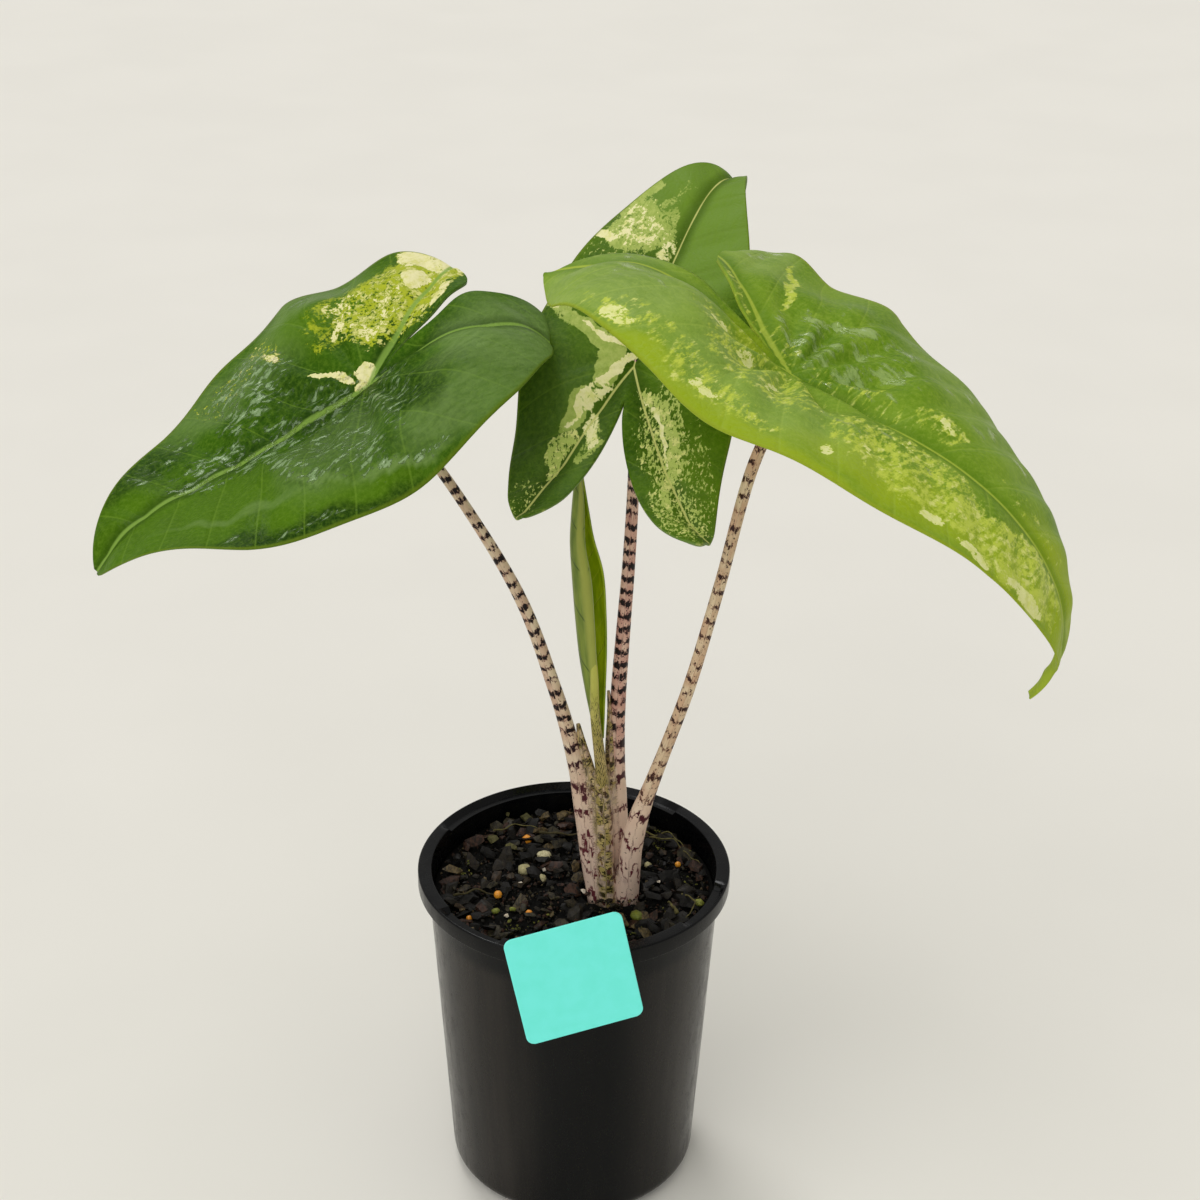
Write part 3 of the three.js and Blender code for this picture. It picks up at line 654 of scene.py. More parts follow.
def midrib(leaf):
    """A function that gives the midrib's points and axes at places u, from -1 to 1."""
    steps = 120

    def axes(u):
        pitch = np.radians(along(PITCH_AT, leaf["pitch"], u))
        heading = np.radians(along(TURN_AT, leaf["heading"], u))
        roll = np.radians(along(TURN_AT, leaf["roll"], u))[:, None]
        flat = np.cos(pitch)
        ahead = np.stack([flat * np.cos(heading), flat * np.sin(heading), np.sin(pitch)], 1)
        level = np.stack([-np.sin(heading), np.cos(heading), np.zeros_like(heading)], 1)
        left = level * np.cos(roll) + np.cross(ahead, level) * np.sin(roll)
        return ahead, left, np.cross(ahead, left)

    def walk(sign, total):
        ahead = axes(sign * (np.arange(steps) + 0.5) / steps)[0]
        moved = np.cumsum(ahead * sign * total / steps, axis=0)
        return np.vstack([[0, 0, 0], moved]) + leaf["stalk_end"]

    forward = walk(1, leaf["ahead"])
    back = walk(-1, max(leaf["behind"].values()))
    places = np.arange(steps + 1) / steps

    def at(u):
        reach = np.abs(u)
        fore = np.stack([np.interp(reach, places, forward[:, k]) for k in range(3)], 1)
        aft = np.stack([np.interp(reach, places, back[:, k]) for k in range(3)], 1)
        return (np.where(u[:, None] < 0, aft, fore), *axes(u)[1:])

    return at


def margins(leaf, side, u):
    """Inner and outer margin of one half at places u, as distances from the midrib's line."""
    ahead = np.clip(u, 0, 1)
    tip = OUTLINE["tip"] * ahead
    body = np.clip(1 - (ahead / (1 - leaf["drip"])) ** 2, 0, 1) ** leaf["taper"][side]
    front = tip + (1 - tip) * body
    free = np.clip((-u - leaf["joined"]) / (1 - leaf["joined"]), 0, 1)
    outer = 1 - (1 - leaf["lobe_end"]) * u * u
    inner = leaf["notch"][side] * free ** OUTLINE["notch_curve"]
    end = np.clip((-u - OUTLINE["lobe_round"]) / (1 - OUTLINE["lobe_round"]), 0, 1)
    share = np.maximum(0.1, np.sqrt(1 - end * end))
    middle = (outer + inner) / 2 + leaf["spread"][side] * free * free
    reach = (outer - inner) / 2 * share
    low = np.where(u < 0, middle - reach, 0)
    high = np.where(u < 0, middle + reach, front)
    return low * leaf["half"], high * leaf["half"]


def relief(leaf, a, b, share, rib, phase):
    """How far the skin lies above or below the smooth blade."""
    groove = -BLADE["valley"] * hill(rib, BLADE["valley_wide"])
    crease = -BLADE["crease"] * hill(rib, BLADE["crease_wide"])
    body = np.sin(np.pi * share)
    swelling = BLADE["quilt"] * np.sin(2 * np.pi * phase) * body
    from_vein = (np.abs((phase + 0.25) % 1 - 0.5) - 0.5) * BLADE["vein_pitch"]
    dent = -BLADE["dent"] * hill(from_vein, BLADE["dent_wide"]) * body
    ripple = BLADE["wave"] * share**3 * np.sin(a / BLADE["wave_pitch"] * 2 * np.pi + b * 0.05)
    reach = np.hypot(a, b)
    clear = 1 - hill(rib, BLADE["shoulder_clear"])
    round_stalk = hill(reach - leaf["bowl"], BLADE["shoulder_wide"])
    shoulder = leaf["shoulder"] * round_stalk * (1 - share**2) * clear
    folds = np.cos(BLADE["pleats"] * np.arctan2(b, a))
    pleats = -leaf["pleat"] * hill(reach - BLADE["pleat_at"], BLADE["pleat_wide"]) * folds
    return groove + crease + swelling + dent + ripple + shoulder + pleats


def blade_places(joined):
    """The places u of a blade's rows, from the lobe ends over the stalk to the tip."""
    lobe = np.arange(BLADE["lobe_rows"] + 1) / BLADE["lobe_rows"]
    between = np.arange(1, BLADE["joined_rows"]) / BLADE["joined_rows"]
    ahead = np.arange(BLADE["blade_rows"] + 1) / BLADE["blade_rows"]
    lobe_u = -joined - (1 - joined) * np.cos(lobe * np.pi / 2)
    return np.concatenate([lobe_u, -joined * (1 - between), 1 - (1 - ahead) ** 1.25])


def leaf_sheet(leaf):
    """The middle sheet of a blade: its points, faces and notes for each point."""
    at = midrib(leaf)
    u = blade_places(leaf["joined"])
    columns = BLADE["columns"]
    longest = max(leaf["behind"].values())

    points, notes, faces = [], [], []
    count = 0
    left_index = None
    for side, sign in (("left", 1), ("right", -1)):
        place = np.where(u < 0, u * leaf["behind"][side] / longest, u)
        point, left, up = at(place)
        lift = np.radians(along(LIFT_AT, leaf["lift"][side], u))[:, None]
        curl = np.radians(along(LIFT_AT, leaf["curl"][side], u))[:, None]
        inner, outer = (edge[:, None] for edge in margins(leaf, side, u))
        power = np.where(u < 0, 1.0, 1.2)[:, None]
        share = (np.arange(columns + 1)[None, :] / columns) ** power
        b = inner + (outer - inner) * share
        a = np.where(u < 0, u * leaf["behind"][side], u * leaf["ahead"])[:, None] + 0 * b
        step = np.diff(b, axis=1)
        slope = lift + curl * ((b[:, 1:] + b[:, :-1]) / 2 / leaf["half"]) ** 2
        start = np.zeros_like(inner)
        across = inner * np.cos(lift) + np.hstack([start, np.cumsum(np.cos(slope) * step, axis=1)])
        rise = inner * np.sin(lift) + np.hstack([start, np.cumsum(np.sin(slope) * step, axis=1)])
        rows_u = u[:, None] + 0 * b
        lobe = rows_u < 0
        bend = leaf["bend"] * np.sin(np.pi * np.clip(rows_u, 0, 1))
        beside = np.abs(sign * b - bend)
        rib = np.where(lobe, (b + a * LOBE_RIB) * 0.92, beside)
        phase = (np.abs(a) - BLADE["vein_slant"] * np.where(lobe, b, beside)) / BLADE["vein_pitch"]
        rise = rise + relief(leaf, a, b, share, rib, phase)
        skin = point[:, None] + left[:, None] * (sign * across)[..., None] + up[:, None] * rise[..., None]

        index = np.arange(count, count + b.size).reshape(b.shape)
        if side == "left":
            left_index = index.copy()
        else:
            index[BLADE["lobe_rows"] :, 0] = left_index[BLADE["lobe_rows"] :, 0]
        count += b.size
        points.append(skin.reshape(-1, 3))
        notes.append(np.stack([a, sign * b, phase, rib, share, rows_u], -1).reshape(-1, 6))
        corners = [index[:-1, :-1], index[1:, :-1], index[1:, 1:], index[:-1, 1:]]
        if side == "right":
            corners.reverse()
        faces.append(np.stack(corners, -1).reshape(-1, 4))

    points, notes, faces = np.vstack(points), np.vstack(notes), np.vstack(faces)
    used = np.unique(faces)
    renumber = np.zeros(len(points), int)
    renumber[used] = np.arange(len(used))
    return points[used], [tuple(f) for f in renumber[faces].tolist()], notes[used]


def ragged(a, b):
    """Places on a blade, shifted unevenly so that the outline of a patch wanders."""
    flat = np.stack([a, b, 0 * a], 1)
    a = a + 4.0 * uneven(flat, 11, 3) + 1.6 * uneven(flat, 4, 4)
    b = b + 4.0 * uneven(flat, 11, 5) + 1.6 * uneven(flat, 4, 6)
    return a, b


def patch_level(patches, a, b):
    """The strongest of the patches at each point."""
    level = np.zeros_like(a)
    for place_a, place_b, long, wide, turn, strength in patches:
        angle = math.radians(turn)
        run = (a - place_a) * math.cos(angle) + (b - place_b) * math.sin(angle)
        off = (b - place_b) * math.cos(angle) - (a - place_a) * math.sin(angle)
        near = 1 - smooth(np.hypot(run / long, off / wide), 0.5, 1.15)
        level = np.maximum(level, strength * near)
    return level


def make_blade(name, material):
    points, faces, notes = leaf_sheet(LEAVES[name])
    a, b, _, rib, share, u = notes.T
    edge = BLADE["thick"] + (BLADE["edge_thick"] - BLADE["thick"]) * share**4
    underside = BLADE["rib_thick"] * hill(rib, BLADE["rib_wide"]) * (1 - np.abs(u)) ** 0.7
    skins, all_faces = thicken(points, faces, edge / 2, edge / 2 + underside)
    under = np.repeat([0.0, 1.0], len(points))
    both = np.vstack([notes, notes])
    leaf = np.column_stack([both[:, :2], under])
    piece = mesh_piece(f"leaf_{name}", skins, all_faces, material, leaf=leaf, veins=both[:, 2:5])
    wandering = ragged(a, b)
    for kind, patches in PATCHES[name].items():
        level = patch_level(patches, *wandering)
        note(piece, **{kind: np.concatenate([level, level])})
    dress(piece, f"leaf_{name}", f"blade_{name}")


# Stalks and the rolled leaf


def smooth_path(stations, steps):
    """Points and directions along the smooth curve through the stations."""
    knots = np.array([s[:3] for s in stations], float)
    knots = np.vstack([2 * knots[0] - knots[1], knots, 2 * knots[-1] - knots[-2]])
    spans = np.sqrt(np.linalg.norm(np.diff(knots, axis=0), axis=1))
    last = len(stations) - 1
    points, ways = [], []
    for t in np.linspace(0, last, steps + 1):
        i = min(int(t), last - 1)
        w = t - i
        p0, p1, p2, p3 = knots[i : i + 4]
        d0, d1, d2 = spans[i : i + 3]
        m1 = ((p1 - p0) / d0 - (p2 - p0) / (d0 + d1) + (p2 - p1) / d1) * d1
        m2 = ((p2 - p1) / d1 - (p3 - p1) / (d1 + d2) + (p3 - p2) / d2) * d1
        c2 = -3 * p1 + 3 * p2 - 2 * m1 - m2
        c3 = 2 * p1 - 2 * p2 + m1 + m2
        points.append(p1 + m1 * w + c2 * w * w + c3 * w**3)
        ways.append(m1 + 2 * c2 * w + 3 * c3 * w * w)
    return np.array(points), unit(np.array(ways))


def tube(stations, steps, angle, share=1.0, shrink=0.0):
    """Rows of points round the path through the stations, with its centres and half widths."""
    centres, ahead = smooth_path(stations, steps)
    places = np.arange(len(stations)) / (len(stations) - 1)
    t = np.linspace(0, 1, steps + 1)
    wide, deep = (along(places, [s[k] for s in stations], t) - shrink for k in (3, 4))
    across = unit(np.cross([0, 1, 0], ahead))
    outwards = np.cross(ahead, across)
    x = (wide[:, None] * share * np.cos(angle))[..., None]
    y = (deep[:, None] * share * np.sin(angle))[..., None]
    return centres[:, None] + across[:, None] * x + outwards[:, None] * y, centres, wide


def rod(stations, steps, sides):
    """Rings of an elliptical rod through the stations, with their flat coordinates and centres."""
    angle = turns(sides)
    points, centres, wide = tube(stations, steps, angle)
    length = np.concatenate([[0], np.cumsum(np.linalg.norm(np.diff(centres, axis=0), axis=1))])
    arc = ((angle + np.pi / 2) % (2 * np.pi) - np.pi) * wide.mean()
    flat = np.stack(np.broadcast_arrays(arc[None, :], length[:, None], 0 * angle[None, :]), -1)
    return points, flat, centres


def stalk_top(leaf):
    """Where a stalk ends, in the underside of its blade."""
    point, _, up = midrib(leaf)(np.array([STALK_TOP["ahead"]]))
    place = point[0] - up[0] * (BLADE["valley"] + STALK_TOP["below"])
    return [*place, STALK_TOP["radius"], STALK_TOP["radius"]]


def stalk_rods(name):
    """The rods of a stalk and its sheath, with the flat coordinates and youth of their points."""
    top = [stalk_top(LEAVES[name])] if name in LEAVES else []
    seed = 37.0 * (1 + list(STALKS).index(name))
    points, flat, centres = rod(STALKS[name]["stem"] + top, 220, 36)
    rods = [(points, flat + [0, 0, seed], centres, 0 * points[..., 2])]
    if "sheath" in STALKS[name]:
        points, flat, centres = rod(STALKS[name]["sheath"], 90, 28)
        rods.append((points, flat + [0, 0, seed + 11], centres, 0.9 * smooth(points[..., 2], 140, 168)))
    return rods


def ring_phase(length, pitch):
    """Rings counted along a stalk: far apart in its foot and close together above."""
    steps = np.arange(0, 300)
    apart = pitch + 7 * (1 - smooth(steps, 40, 92))
    return np.interp(length, steps, np.cumsum(1 / apart))


def add_rod(joined, points, flat, young, pitch):
    """Adds a closed rod with the notes that its material reads."""
    notes = {"stalk": flat.reshape(-1, 3), "phase": ring_phase(flat[..., 1].ravel(), pitch)}
    joined.add(points.reshape(-1, 3), capped(*points.shape[:2]), young=young.ravel(), **notes)


def make_stalk(name, material, slot):
    joined = Joined()
    for points, flat, _, young in stalk_rods(name):
        add_rod(joined, points, flat, young, RING_PITCH[name])
    dress(joined.piece(f"stalk_{name}", material), slot, f"petiole_{name}")


def make_base(material):
    """The grown-together foot of all the stalks: their rods swelled, fused and smoothed."""
    joined = Joined()
    for name, pitch in RING_PITCH.items():
        for rod_parts in stalk_rods(name):
            low = rod_parts[0][:, :, 2].max(axis=1) < BASE["top"]
            points, flat, centres, young = (part[low] for part in rod_parts)
            grow = BASE["swell"] - (BASE["swell"] + BASE["sink"]) * smooth(centres[:, 2], *BASE["fade"])
            away = points - centres[:, None]
            radius = np.linalg.norm(away, axis=2, keepdims=True)
            swelled = centres[:, None] + away * np.maximum(0.2, (radius + grow[:, None, None]) / radius)
            add_rod(joined, swelled, flat, young, pitch)
    piece = mesh_piece("stalk_base", np.vstack(joined.points), joined.faces, material)
    fuse = piece.modifiers.new("fuse", "REMESH")
    fuse.mode = "VOXEL"
    fuse.voxel_size = BASE["voxel"] * MM
    piece.modifiers.new("soften", "SMOOTH").iterations = BASE["soften"]
    settle(piece)
    piece.data.shade_smooth()

    # Each point of the fused skin takes the notes of the nearest point of the rods
    tree = kdtree.KDTree(joined.count)
    for k, point in enumerate(np.vstack(joined.points)):
        tree.insert(point, k)
    tree.balance()
    made = np.zeros(len(piece.data.vertices) * 3, np.float32)
    piece.data.vertices.foreach_get("co", made)
    made = made.reshape(-1, 3) / MM
    near = [tree.find(point)[1] for point in made]
    flat, phase, young = (np.concatenate(joined.notes[key])[near] for key in ("stalk", "phase", "young"))
    height, middle, half = np.array(BASE["streak"], float).T
    away = np.abs(made[:, 0] - np.interp(made[:, 2], height, middle)) + uneven(made, 3.0, 5) * 1.2
    half = np.interp(made[:, 2], height, half)
    streak = (1 - smooth(away, half * 0.6, half * 1.35)) * (made[:, 1] < FOOT["y"] + 2)
    note(piece, stalk=flat, phase=phase, young=np.maximum(streak, young))
    dress(piece, "stalk")


def make_rolled_leaf(material):
    """The new leaf as a sheet rolled on itself, open where its two margins pass each other."""
    steps, sides, half = 120, 60, ROLL["thick"] / 2
    t = np.linspace(0, 1, steps + 1)[:, None]
    turn = np.arange(sides + 1)[None, :] / sides
    start = ROLL["from"] + ROLL["twist"] * smooth(t, 0.62, 0.95)
    angle = np.radians(start + ROLL["sweep"] * turn)
    flare = ROLL["flare"] * smooth(turn, 0.7, 1) * np.sin(np.pi * t) ** 2
    share = 1 + ROLL["grow"] * (turn - 0.5) + flare
    points = tube(ROLL["stem"], steps, angle, share, half)[0].reshape(-1, 3)
    faces = [tuple(reversed(face)) for face in grid_faces(steps + 1, sides + 1)]
    low_rib, high_rib = ROLL["midrib"]
    middle = low_rib + (high_rib - low_rib) * smooth(t, 0.3, 0.8)
    rib = (turn - middle) * 2 * np.pi * ROLL["radius"]
    flat = np.stack(np.broadcast_arrays(rib, t * ROLL["length"], turn), -1).reshape(-1, 3)
    ridge = ROLL["ridge"] * hill(flat[:, 0], ROLL["ridge_wide"])
    skins, all_faces = thicken(points, faces, half + ridge, half + 0 * ridge)
    notes = {"roll": np.vstack([flat, flat]), "inside": np.repeat([0.0, 1.0], len(points))}
    dress(mesh_piece("leaf_rolled", skins, all_faces, material, **notes), "leaf_rolled", "blade_rolled")


# Pot


def wall_outer(z):
    return POT["base_radius"] + POT["taper"] * z


def wall_inner(z):
    return wall_outer(z) - POT["wall"]


def rounded(profile):
    """A profile of (radius, z, fillet) corners, with an arc at each corner that has a fillet."""
    corners = [np.array(p[:2], float) for p in profile]
    out = [corners[0]]
    for k in range(1, len(corners) - 1):
        here, fillet = corners[k], profile[k][2]
        if not fillet:
            out.append(here)
            continue
        start, end = (here + unit(corners[k + way] - here) * fillet for way in (-1, 1))
        for t in np.linspace(0, 1, 6):
            out.append(start * (1 - t) ** 2 + here * 2 * t * (1 - t) + end * t * t)
    return np.array(out + [corners[-1]])


def pot_profile():
    """The pot's section from the middle of its underside, up the outside and down the inside."""
    height, rim = POT["height"], POT["rim_radius"]
    under = height - POT["rim_floor"]
    lip = height - POT["rim_depth"]
    skirt = rim - POT["skirt"]
    base, corner, floor = POT["base_radius"], POT["corner"], POT["floor"]
    shelf = height - LEDGES["depth"] - 1
    wall = [(wall_outer(z), z, 0) for z in np.linspace(corner + 4, under - 8, 9)]
    inside = [(wall_inner(z), z, 0) for z in np.linspace(height - 12, corner + 8, 5)]
    foot = [(0, 0, 0), (base - corner - 9, 0, 0), (base - corner, 0, 1.6)]
    foot.append((wall_outer(corner), corner, 2.4))
    band = [(wall_outer(under), under, 0.5), (skirt, under, 0.4), (skirt, lip, 0.25), (rim, lip, 0.35)]
    top = [(rim, height, 0.7), (skirt - 0.9, height, 0), (wall_inner(height), height, 0.45)]
    bottom = [(wall_inner(corner), corner, 2), (base - corner - 3, floor, 1.5), (0, floor, 0)]
    return rounded([*foot, *wall, *band, *top, (wall_inner(shelf), shelf, 0), *inside, *bottom])


def in_ledge(angle):
    """1 inside the shallow ledges of the rim and 0 outside them, for angles in degrees."""
    level = np.zeros_like(angle)
    edge = LEDGES["ramp"] / 2
    for start, end in LEDGES["arcs"]:
        rising = smooth(angle, start - edge, start + edge)
        level = np.maximum(level, rising * (1 - smooth(angle, end - edge, end + edge)))
    return level


def make_pot(material):
    profile = pot_profile()
    facets = POT["facets"]
    angle = turns(facets)
    degrees = (np.degrees(angle) + 180) % 360 - 180
    radius, z = (np.repeat(profile[:, k : k + 1], facets, axis=1) for k in (0, 1))
    top = POT["height"] - LEDGES["depth"]
    edge = wall_inner(POT["height"]) + LEDGES["reach"]
    lowered = (radius < edge + 0.05) & (z > top)
    z = np.where(lowered, z - (z - top) * in_ledge(degrees)[None, :], z)
    points = np.stack([radius * np.cos(angle), radius * np.sin(angle), z], -1).reshape(-1, 3)
    faces = grid_faces(len(profile), facets, closed=True)
    pot = mesh_piece("pot_shell", points, faces, material)
    bpy.context.view_layer.objects.active = pot
    pot.modifiers.new("merge", "WELD").merge_threshold = 0.01 * MM
    drills = [make_drill((k + 0.5) / DRAIN["count"] * 2 * math.pi, material) for k in range(DRAIN["count"])]
    for drill in drills:
        cut = pot.modifiers.new("hole", "BOOLEAN")
        cut.operation = "DIFFERENCE"
        cut.solver = "EXACT"
        cut.object = drill
    settle(pot)
    for drill in drills:
        bpy.data.objects.remove(drill)
    pot.data.set_sharp_from_angle(angle=math.radians(40))
    dress(pot, "pot_plastic", "pot")


def make_drill(turn, material):
    """A round bar that cuts one drain hole."""
    sides, depth, ring, radius = 32, 4 * POT["floor"], DRAIN["ring_radius"], DRAIN["radius"]
    place = (ring * math.cos(turn), ring * math.sin(turn))
    ends = [oval(turns(sides), radius, radius, z, *place) for z in (-depth, depth)]
    return mesh_piece("drill", np.vstack(ends), capped(2, sides), material)


def pot_look():
    """Black plastic with soft upright waves, dull scuffs, a little dust and painted reflections on its
    sides.
    """
    look = Look("pot_plastic")
    place = look.place()
    flow = look.noise(look.scaled(place, z=0.1), 10, detail=3)
    dust = look.noise(place, 1.3, detail=3, roughness=0.7)
    scuffs = look.noise(look.scaled(place, z=0.4), 4, detail=5, roughness=0.75)
    colour = look.over(tint(4, 5, 6), tint(10, 10, 10), flow, 0.3, 0.7)
    x, _, z = look.parts(place)
    # Painted reflections: lighter streaky bands on the left and right sides, below the rim
    streaks = look.noise(look.scaled(place, z=0.02), 7, detail=5, roughness=0.6)
    painted_side_reflection = look.rise(abs(x - 5.0), 8, 36) * look.rise(z, 106, 112, 1.0, 0.0)
    painted_side_reflection = painted_side_reflection * look.rise(streaks, 0.3, 0.7, 0.5, 1.0)
    colour = look.mix(painted_side_reflection, colour, tint(42, 38, 34))
    colour = look.over(colour, tint(70, 64, 56), dust, 0.68, 0.76, 0.2)
    rough = look.rise(scuffs, 0.35, 0.7, 0.16, 0.34)
    normal = look.bump(look.noise(look.scaled(place, z=0.15), 16, detail=2), 0.3)
    return look.skin(colour, rough, look.bump(dust, 0.02, normal), Specular_IOR_Level=0.16)


# Mix


def mix_height(x, y):
    """Height of the mix above its level, in the solid's broad lumps."""
    broad = np.sin(x * 0.21 + 1) * np.cos(y * 0.27)
    fine = np.sin(x * 0.61 - y * 0.35) * np.cos(y * 0.57 + x * 0.2)
    return SOIL["lump"] * (0.5 * broad + 0.7 * fine)


def make_mix(material):
    """The bark mix as one solid with a crumbly top and the hole that the stems stand in."""
    rings, facets, gap = 44, 200, SOIL["gap"]
    edge = wall_inner(SOIL["level"]) - gap
    angle = turns(facets)
    reach = (1 - (np.arange(rings) / rings) ** 1.2)[:, None]
    well = foot_oval(angle, FOOT["play"], FOOT["bottom"] - gap)
    x = well[:, 0] + (edge * np.cos(angle) - well[:, 0]) * reach
    y = well[:, 1] + (edge * np.sin(angle) - well[:, 1]) * reach
    flat = np.stack([x.ravel(), y.ravel(), 0 * x.ravel()], 1)
    crumbs = (0.9 * uneven(flat, 3.1, 1) + 1.3 * uneven(flat, 8.0, 2)).reshape(x.shape)
    z = SOIL["level"] - 0.8 + (mix_height(x, y) + crumbs) * np.minimum(1, (1 - reach) * 8)
    base = POT["base_radius"] - POT["corner"] - 2 * gap
    below = wall_inner(POT["corner"]) - 2 * gap
    bottom = [
        oval(angle, base, base, POT["floor"] + gap),
        oval(angle, below, below, POT["corner"] + gap),
    ]
    top = np.stack([x, y, z], -1)
    rows = np.concatenate([bottom, top, top[-1:], well[None]])
    piece = mesh_piece("mix_body", rows.reshape(-1, 3), capped(len(rows), facets), material)
    dress(piece, "bark_mix", "soil")


def hull(rng, count, stretch, jag):
    """A rough lump about one unit across, as points and triangles."""
    ball = unit(rng.normal(size=(count, 3)))
    ball *= (1 - jag * rng.random((count, 1))) * np.array(stretch) / 2
    shape = bmesh.new()
    for point in ball:
        shape.verts.new(point)
    bmesh.ops.convex_hull(shape, input=shape.verts)
    loose = [v for v in shape.verts if not v.link_faces]
    bmesh.ops.delete(shape, geom=loose, context="VERTS")
    bmesh.ops.triangulate(shape, faces=shape.faces)
    shape.verts.index_update()
    points = np.array([v.co[:] for v in shape.verts])
    faces = [tuple(v.index for v in f.verts) for f in shape.faces]
    shape.free()
    return points, faces


def strewn(rng, count, sizes):
    """Random places on the mix as (x, y, size), with many small bits and few large ones."""
    edge = wall_inner(SOIL["level"]) - 1.5
    spots = []
    for _ in range(count):
        size = sizes[0] + (sizes[1] - sizes[0]) * rng.random() ** 2
        radius = min(edge * math.sqrt(rng.random()), edge - size * 0.42)
        turn = rng.uniform(0, 2 * math.pi)
        spots.append((radius * math.cos(turn), radius * math.sin(turn), size))
    return spots


def in_foot(x, y):
    across = (x - FOOT["x"]) / (FOOT["across_x"] - 0.5)
    return math.hypot(across, (y - FOOT["y"]) / (FOOT["across_y"] - 0.8)) < 1


def scatter(name, material, rng, kinds, spots, sink, tilt, lift=0.0, flat=True):
    """Lumps set on the mix at the given spots, joined into one piece."""
    bits = Joined()
    for k, (x, y, size) in enumerate(spots):
        if in_foot(x, y):
            continue
        base, faces = kinds[k % len(kinds)]
        spin = Matrix.Rotation(rng.uniform(0, 6.28), 3, "Z")
        lean = Matrix.Rotation(math.radians(rng.uniform(-tilt, tilt)), 3, "X")
        turned = base @ np.array((lean @ spin)).T * size
        turned = turned @ np.array(Matrix.Rotation(rng.uniform(0, 6.28), 3, "Z")).T
        z = SOIL["level"] + float(mix_height(x, y)) + (0.5 - sink) * np.ptp(turned[:, 2])
        placed = turned + [x, y, z + rng.uniform(0, lift)]
        bits.add(placed, faces, own=np.full(len(base), rng.random()))
    dress(bits.piece(name, material, flat), "bark_mix")


def make_fibres(name, material, rng, paths):
    """Thin dry threads and twigs that lie on the mix, as a radius and [x, y, rise] points."""
    fibres = Joined()
    sides, steps = 7, 26
    t = np.linspace(0, 1, steps)
    angle = turns(sides)[None, :, None]
    for radius, *path in paths:
        ends = np.linspace(0, 1, len(path))
        centres = np.stack([np.interp(t, ends, column) for column in zip(*path)], 1)
        for _ in range(4):
            centres[1:-1] = (centres[:-2] + centres[1:-1] + centres[2:]) / 3
        centres[:, 2] += SOIL["level"] + mix_height(centres[:, 0], centres[:, 1])
        ahead = unit(np.gradient(centres, axis=0))
        side = unit(np.cross(ahead, [0, 0, 1]))
        over = np.cross(side, ahead)
        wide = radius * (1 - 0.6 * t) * (1 + 0.2 * np.sin(t * 23 + fibres.count))
        ring = side[:, None] * np.cos(angle) + over[:, None] * np.sin(angle)
        points = (centres[:, None] + ring * wide[:, None, None]).reshape(-1, 3)
        fibres.add(points, capped(steps, sides), own=np.full(steps * sides, rng.random()))
    dress(fibres.piece(name, material), "bark_mix")


def lump_look(name, dark, light, rough=0.8, grain=1.2, shine=0.3, stain=None, depth=0.35):
    """Loose bits, each with its own shade between dark and light, and stained where given."""
    look = Look(name)
    place = look.place()
    grit = look.noise(place, grain, detail=4, roughness=0.7)
    colour = look.mix(look.note("own"), tint(*dark), tint(*light))
    colour = look.over(colour, tint(*(stain or dark)), grit, 0.35, 0.7, 0.6)
    worn = look.rise(grit, 0.3, 0.7, rough - 0.12, rough + 0.08)
    return look.skin(colour, worn, look.bump(grit, depth), Specular_IOR_Level=shine)


def bark_look():
    """Moist bark chips: mostly near black, some grey, some reddish brown, few pale."""
    look = Look("bark")
    place = look.place()
    own = look.note("own")
    grain = look.noise(look.scaled(place, y=0.35), 1.1, detail=4, roughness=0.7)
    colour = look.over(tint(14, 11, 7), tint(36, 30, 20), own, 0.3, 0.5)
    colour = look.over(colour, tint(62, 40, 29), own, 0.55, 0.62)
    colour = look.over(colour, tint(56, 50, 34), own, 0.78, 0.82)
    colour = look.over(colour, tint(98, 82, 52), own, 0.93, 0.95)
    colour = look.over(colour, tint(12, 9, 6), grain, 0.4, 0.62, 0.8)
    damp = look.rise(look.noise(place, 7, detail=3), 0.4, 0.65, 0.66, 0.4)
    return look.skin(colour, damp, look.bump(grain, 0.3), Specular_IOR_Level=0.2)


# Card and corm


def make_card(material):
    """The bare square card, tilted back against the rim with a small gap."""
    side, corner, bevel, steps = CARD["side"], CARD["corner"], CARD["bevel"], 8
    outline = []
    for quarter in range(4):
        start = quarter * math.pi / 2
        mid = start + math.pi / 4
        reach = (side / 2 - corner) * math.sqrt(2)
        for k in range(steps + 1):
            angle = start + k / steps * math.pi / 2
            x = reach * math.cos(mid) + corner * math.cos(angle)
            y = reach * math.sin(mid) + corner * math.sin(angle)
            outline.append((x, y))
    outline = np.array(outline)
    inset = 1 - 2 * bevel / side
    levels = [(inset, 0), (1, bevel), (1, CARD["thick"] - bevel), (inset, CARD["thick"])]
    points = np.vstack([np.column_stack([outline * s, np.full(len(outline), z)]) for s, z in levels])
    turn = math.radians(CARD["turn"])
    spin = np.array([[math.cos(turn), -math.sin(turn), 0], [math.sin(turn), math.cos(turn), 0], [0, 0, 1]])
    lean, yaw = math.radians(CARD["lean"]), math.radians(CARD["yaw"])
    face = np.array([math.sin(yaw) * math.cos(lean), -math.cos(yaw) * math.cos(lean), math.sin(lean)])
    level = np.array([math.cos(yaw), math.sin(yaw), 0])
    upwards = np.cross(face, level)
    touch = POT["rim_radius"] * math.cos(lean) + POT["height"] * math.sin(lean)
    centre = level * CARD["slide"] + upwards * CARD["level"] + face * (touch + CARD["gap"])
    placed = (points @ spin.T) @ np.stack([level, upwards, face]) + centre
    piece = mesh_piece("card_blank", placed, capped(len(levels), len(outline)), material, flat=True)
    dress(piece, "card_plastic", "tag")


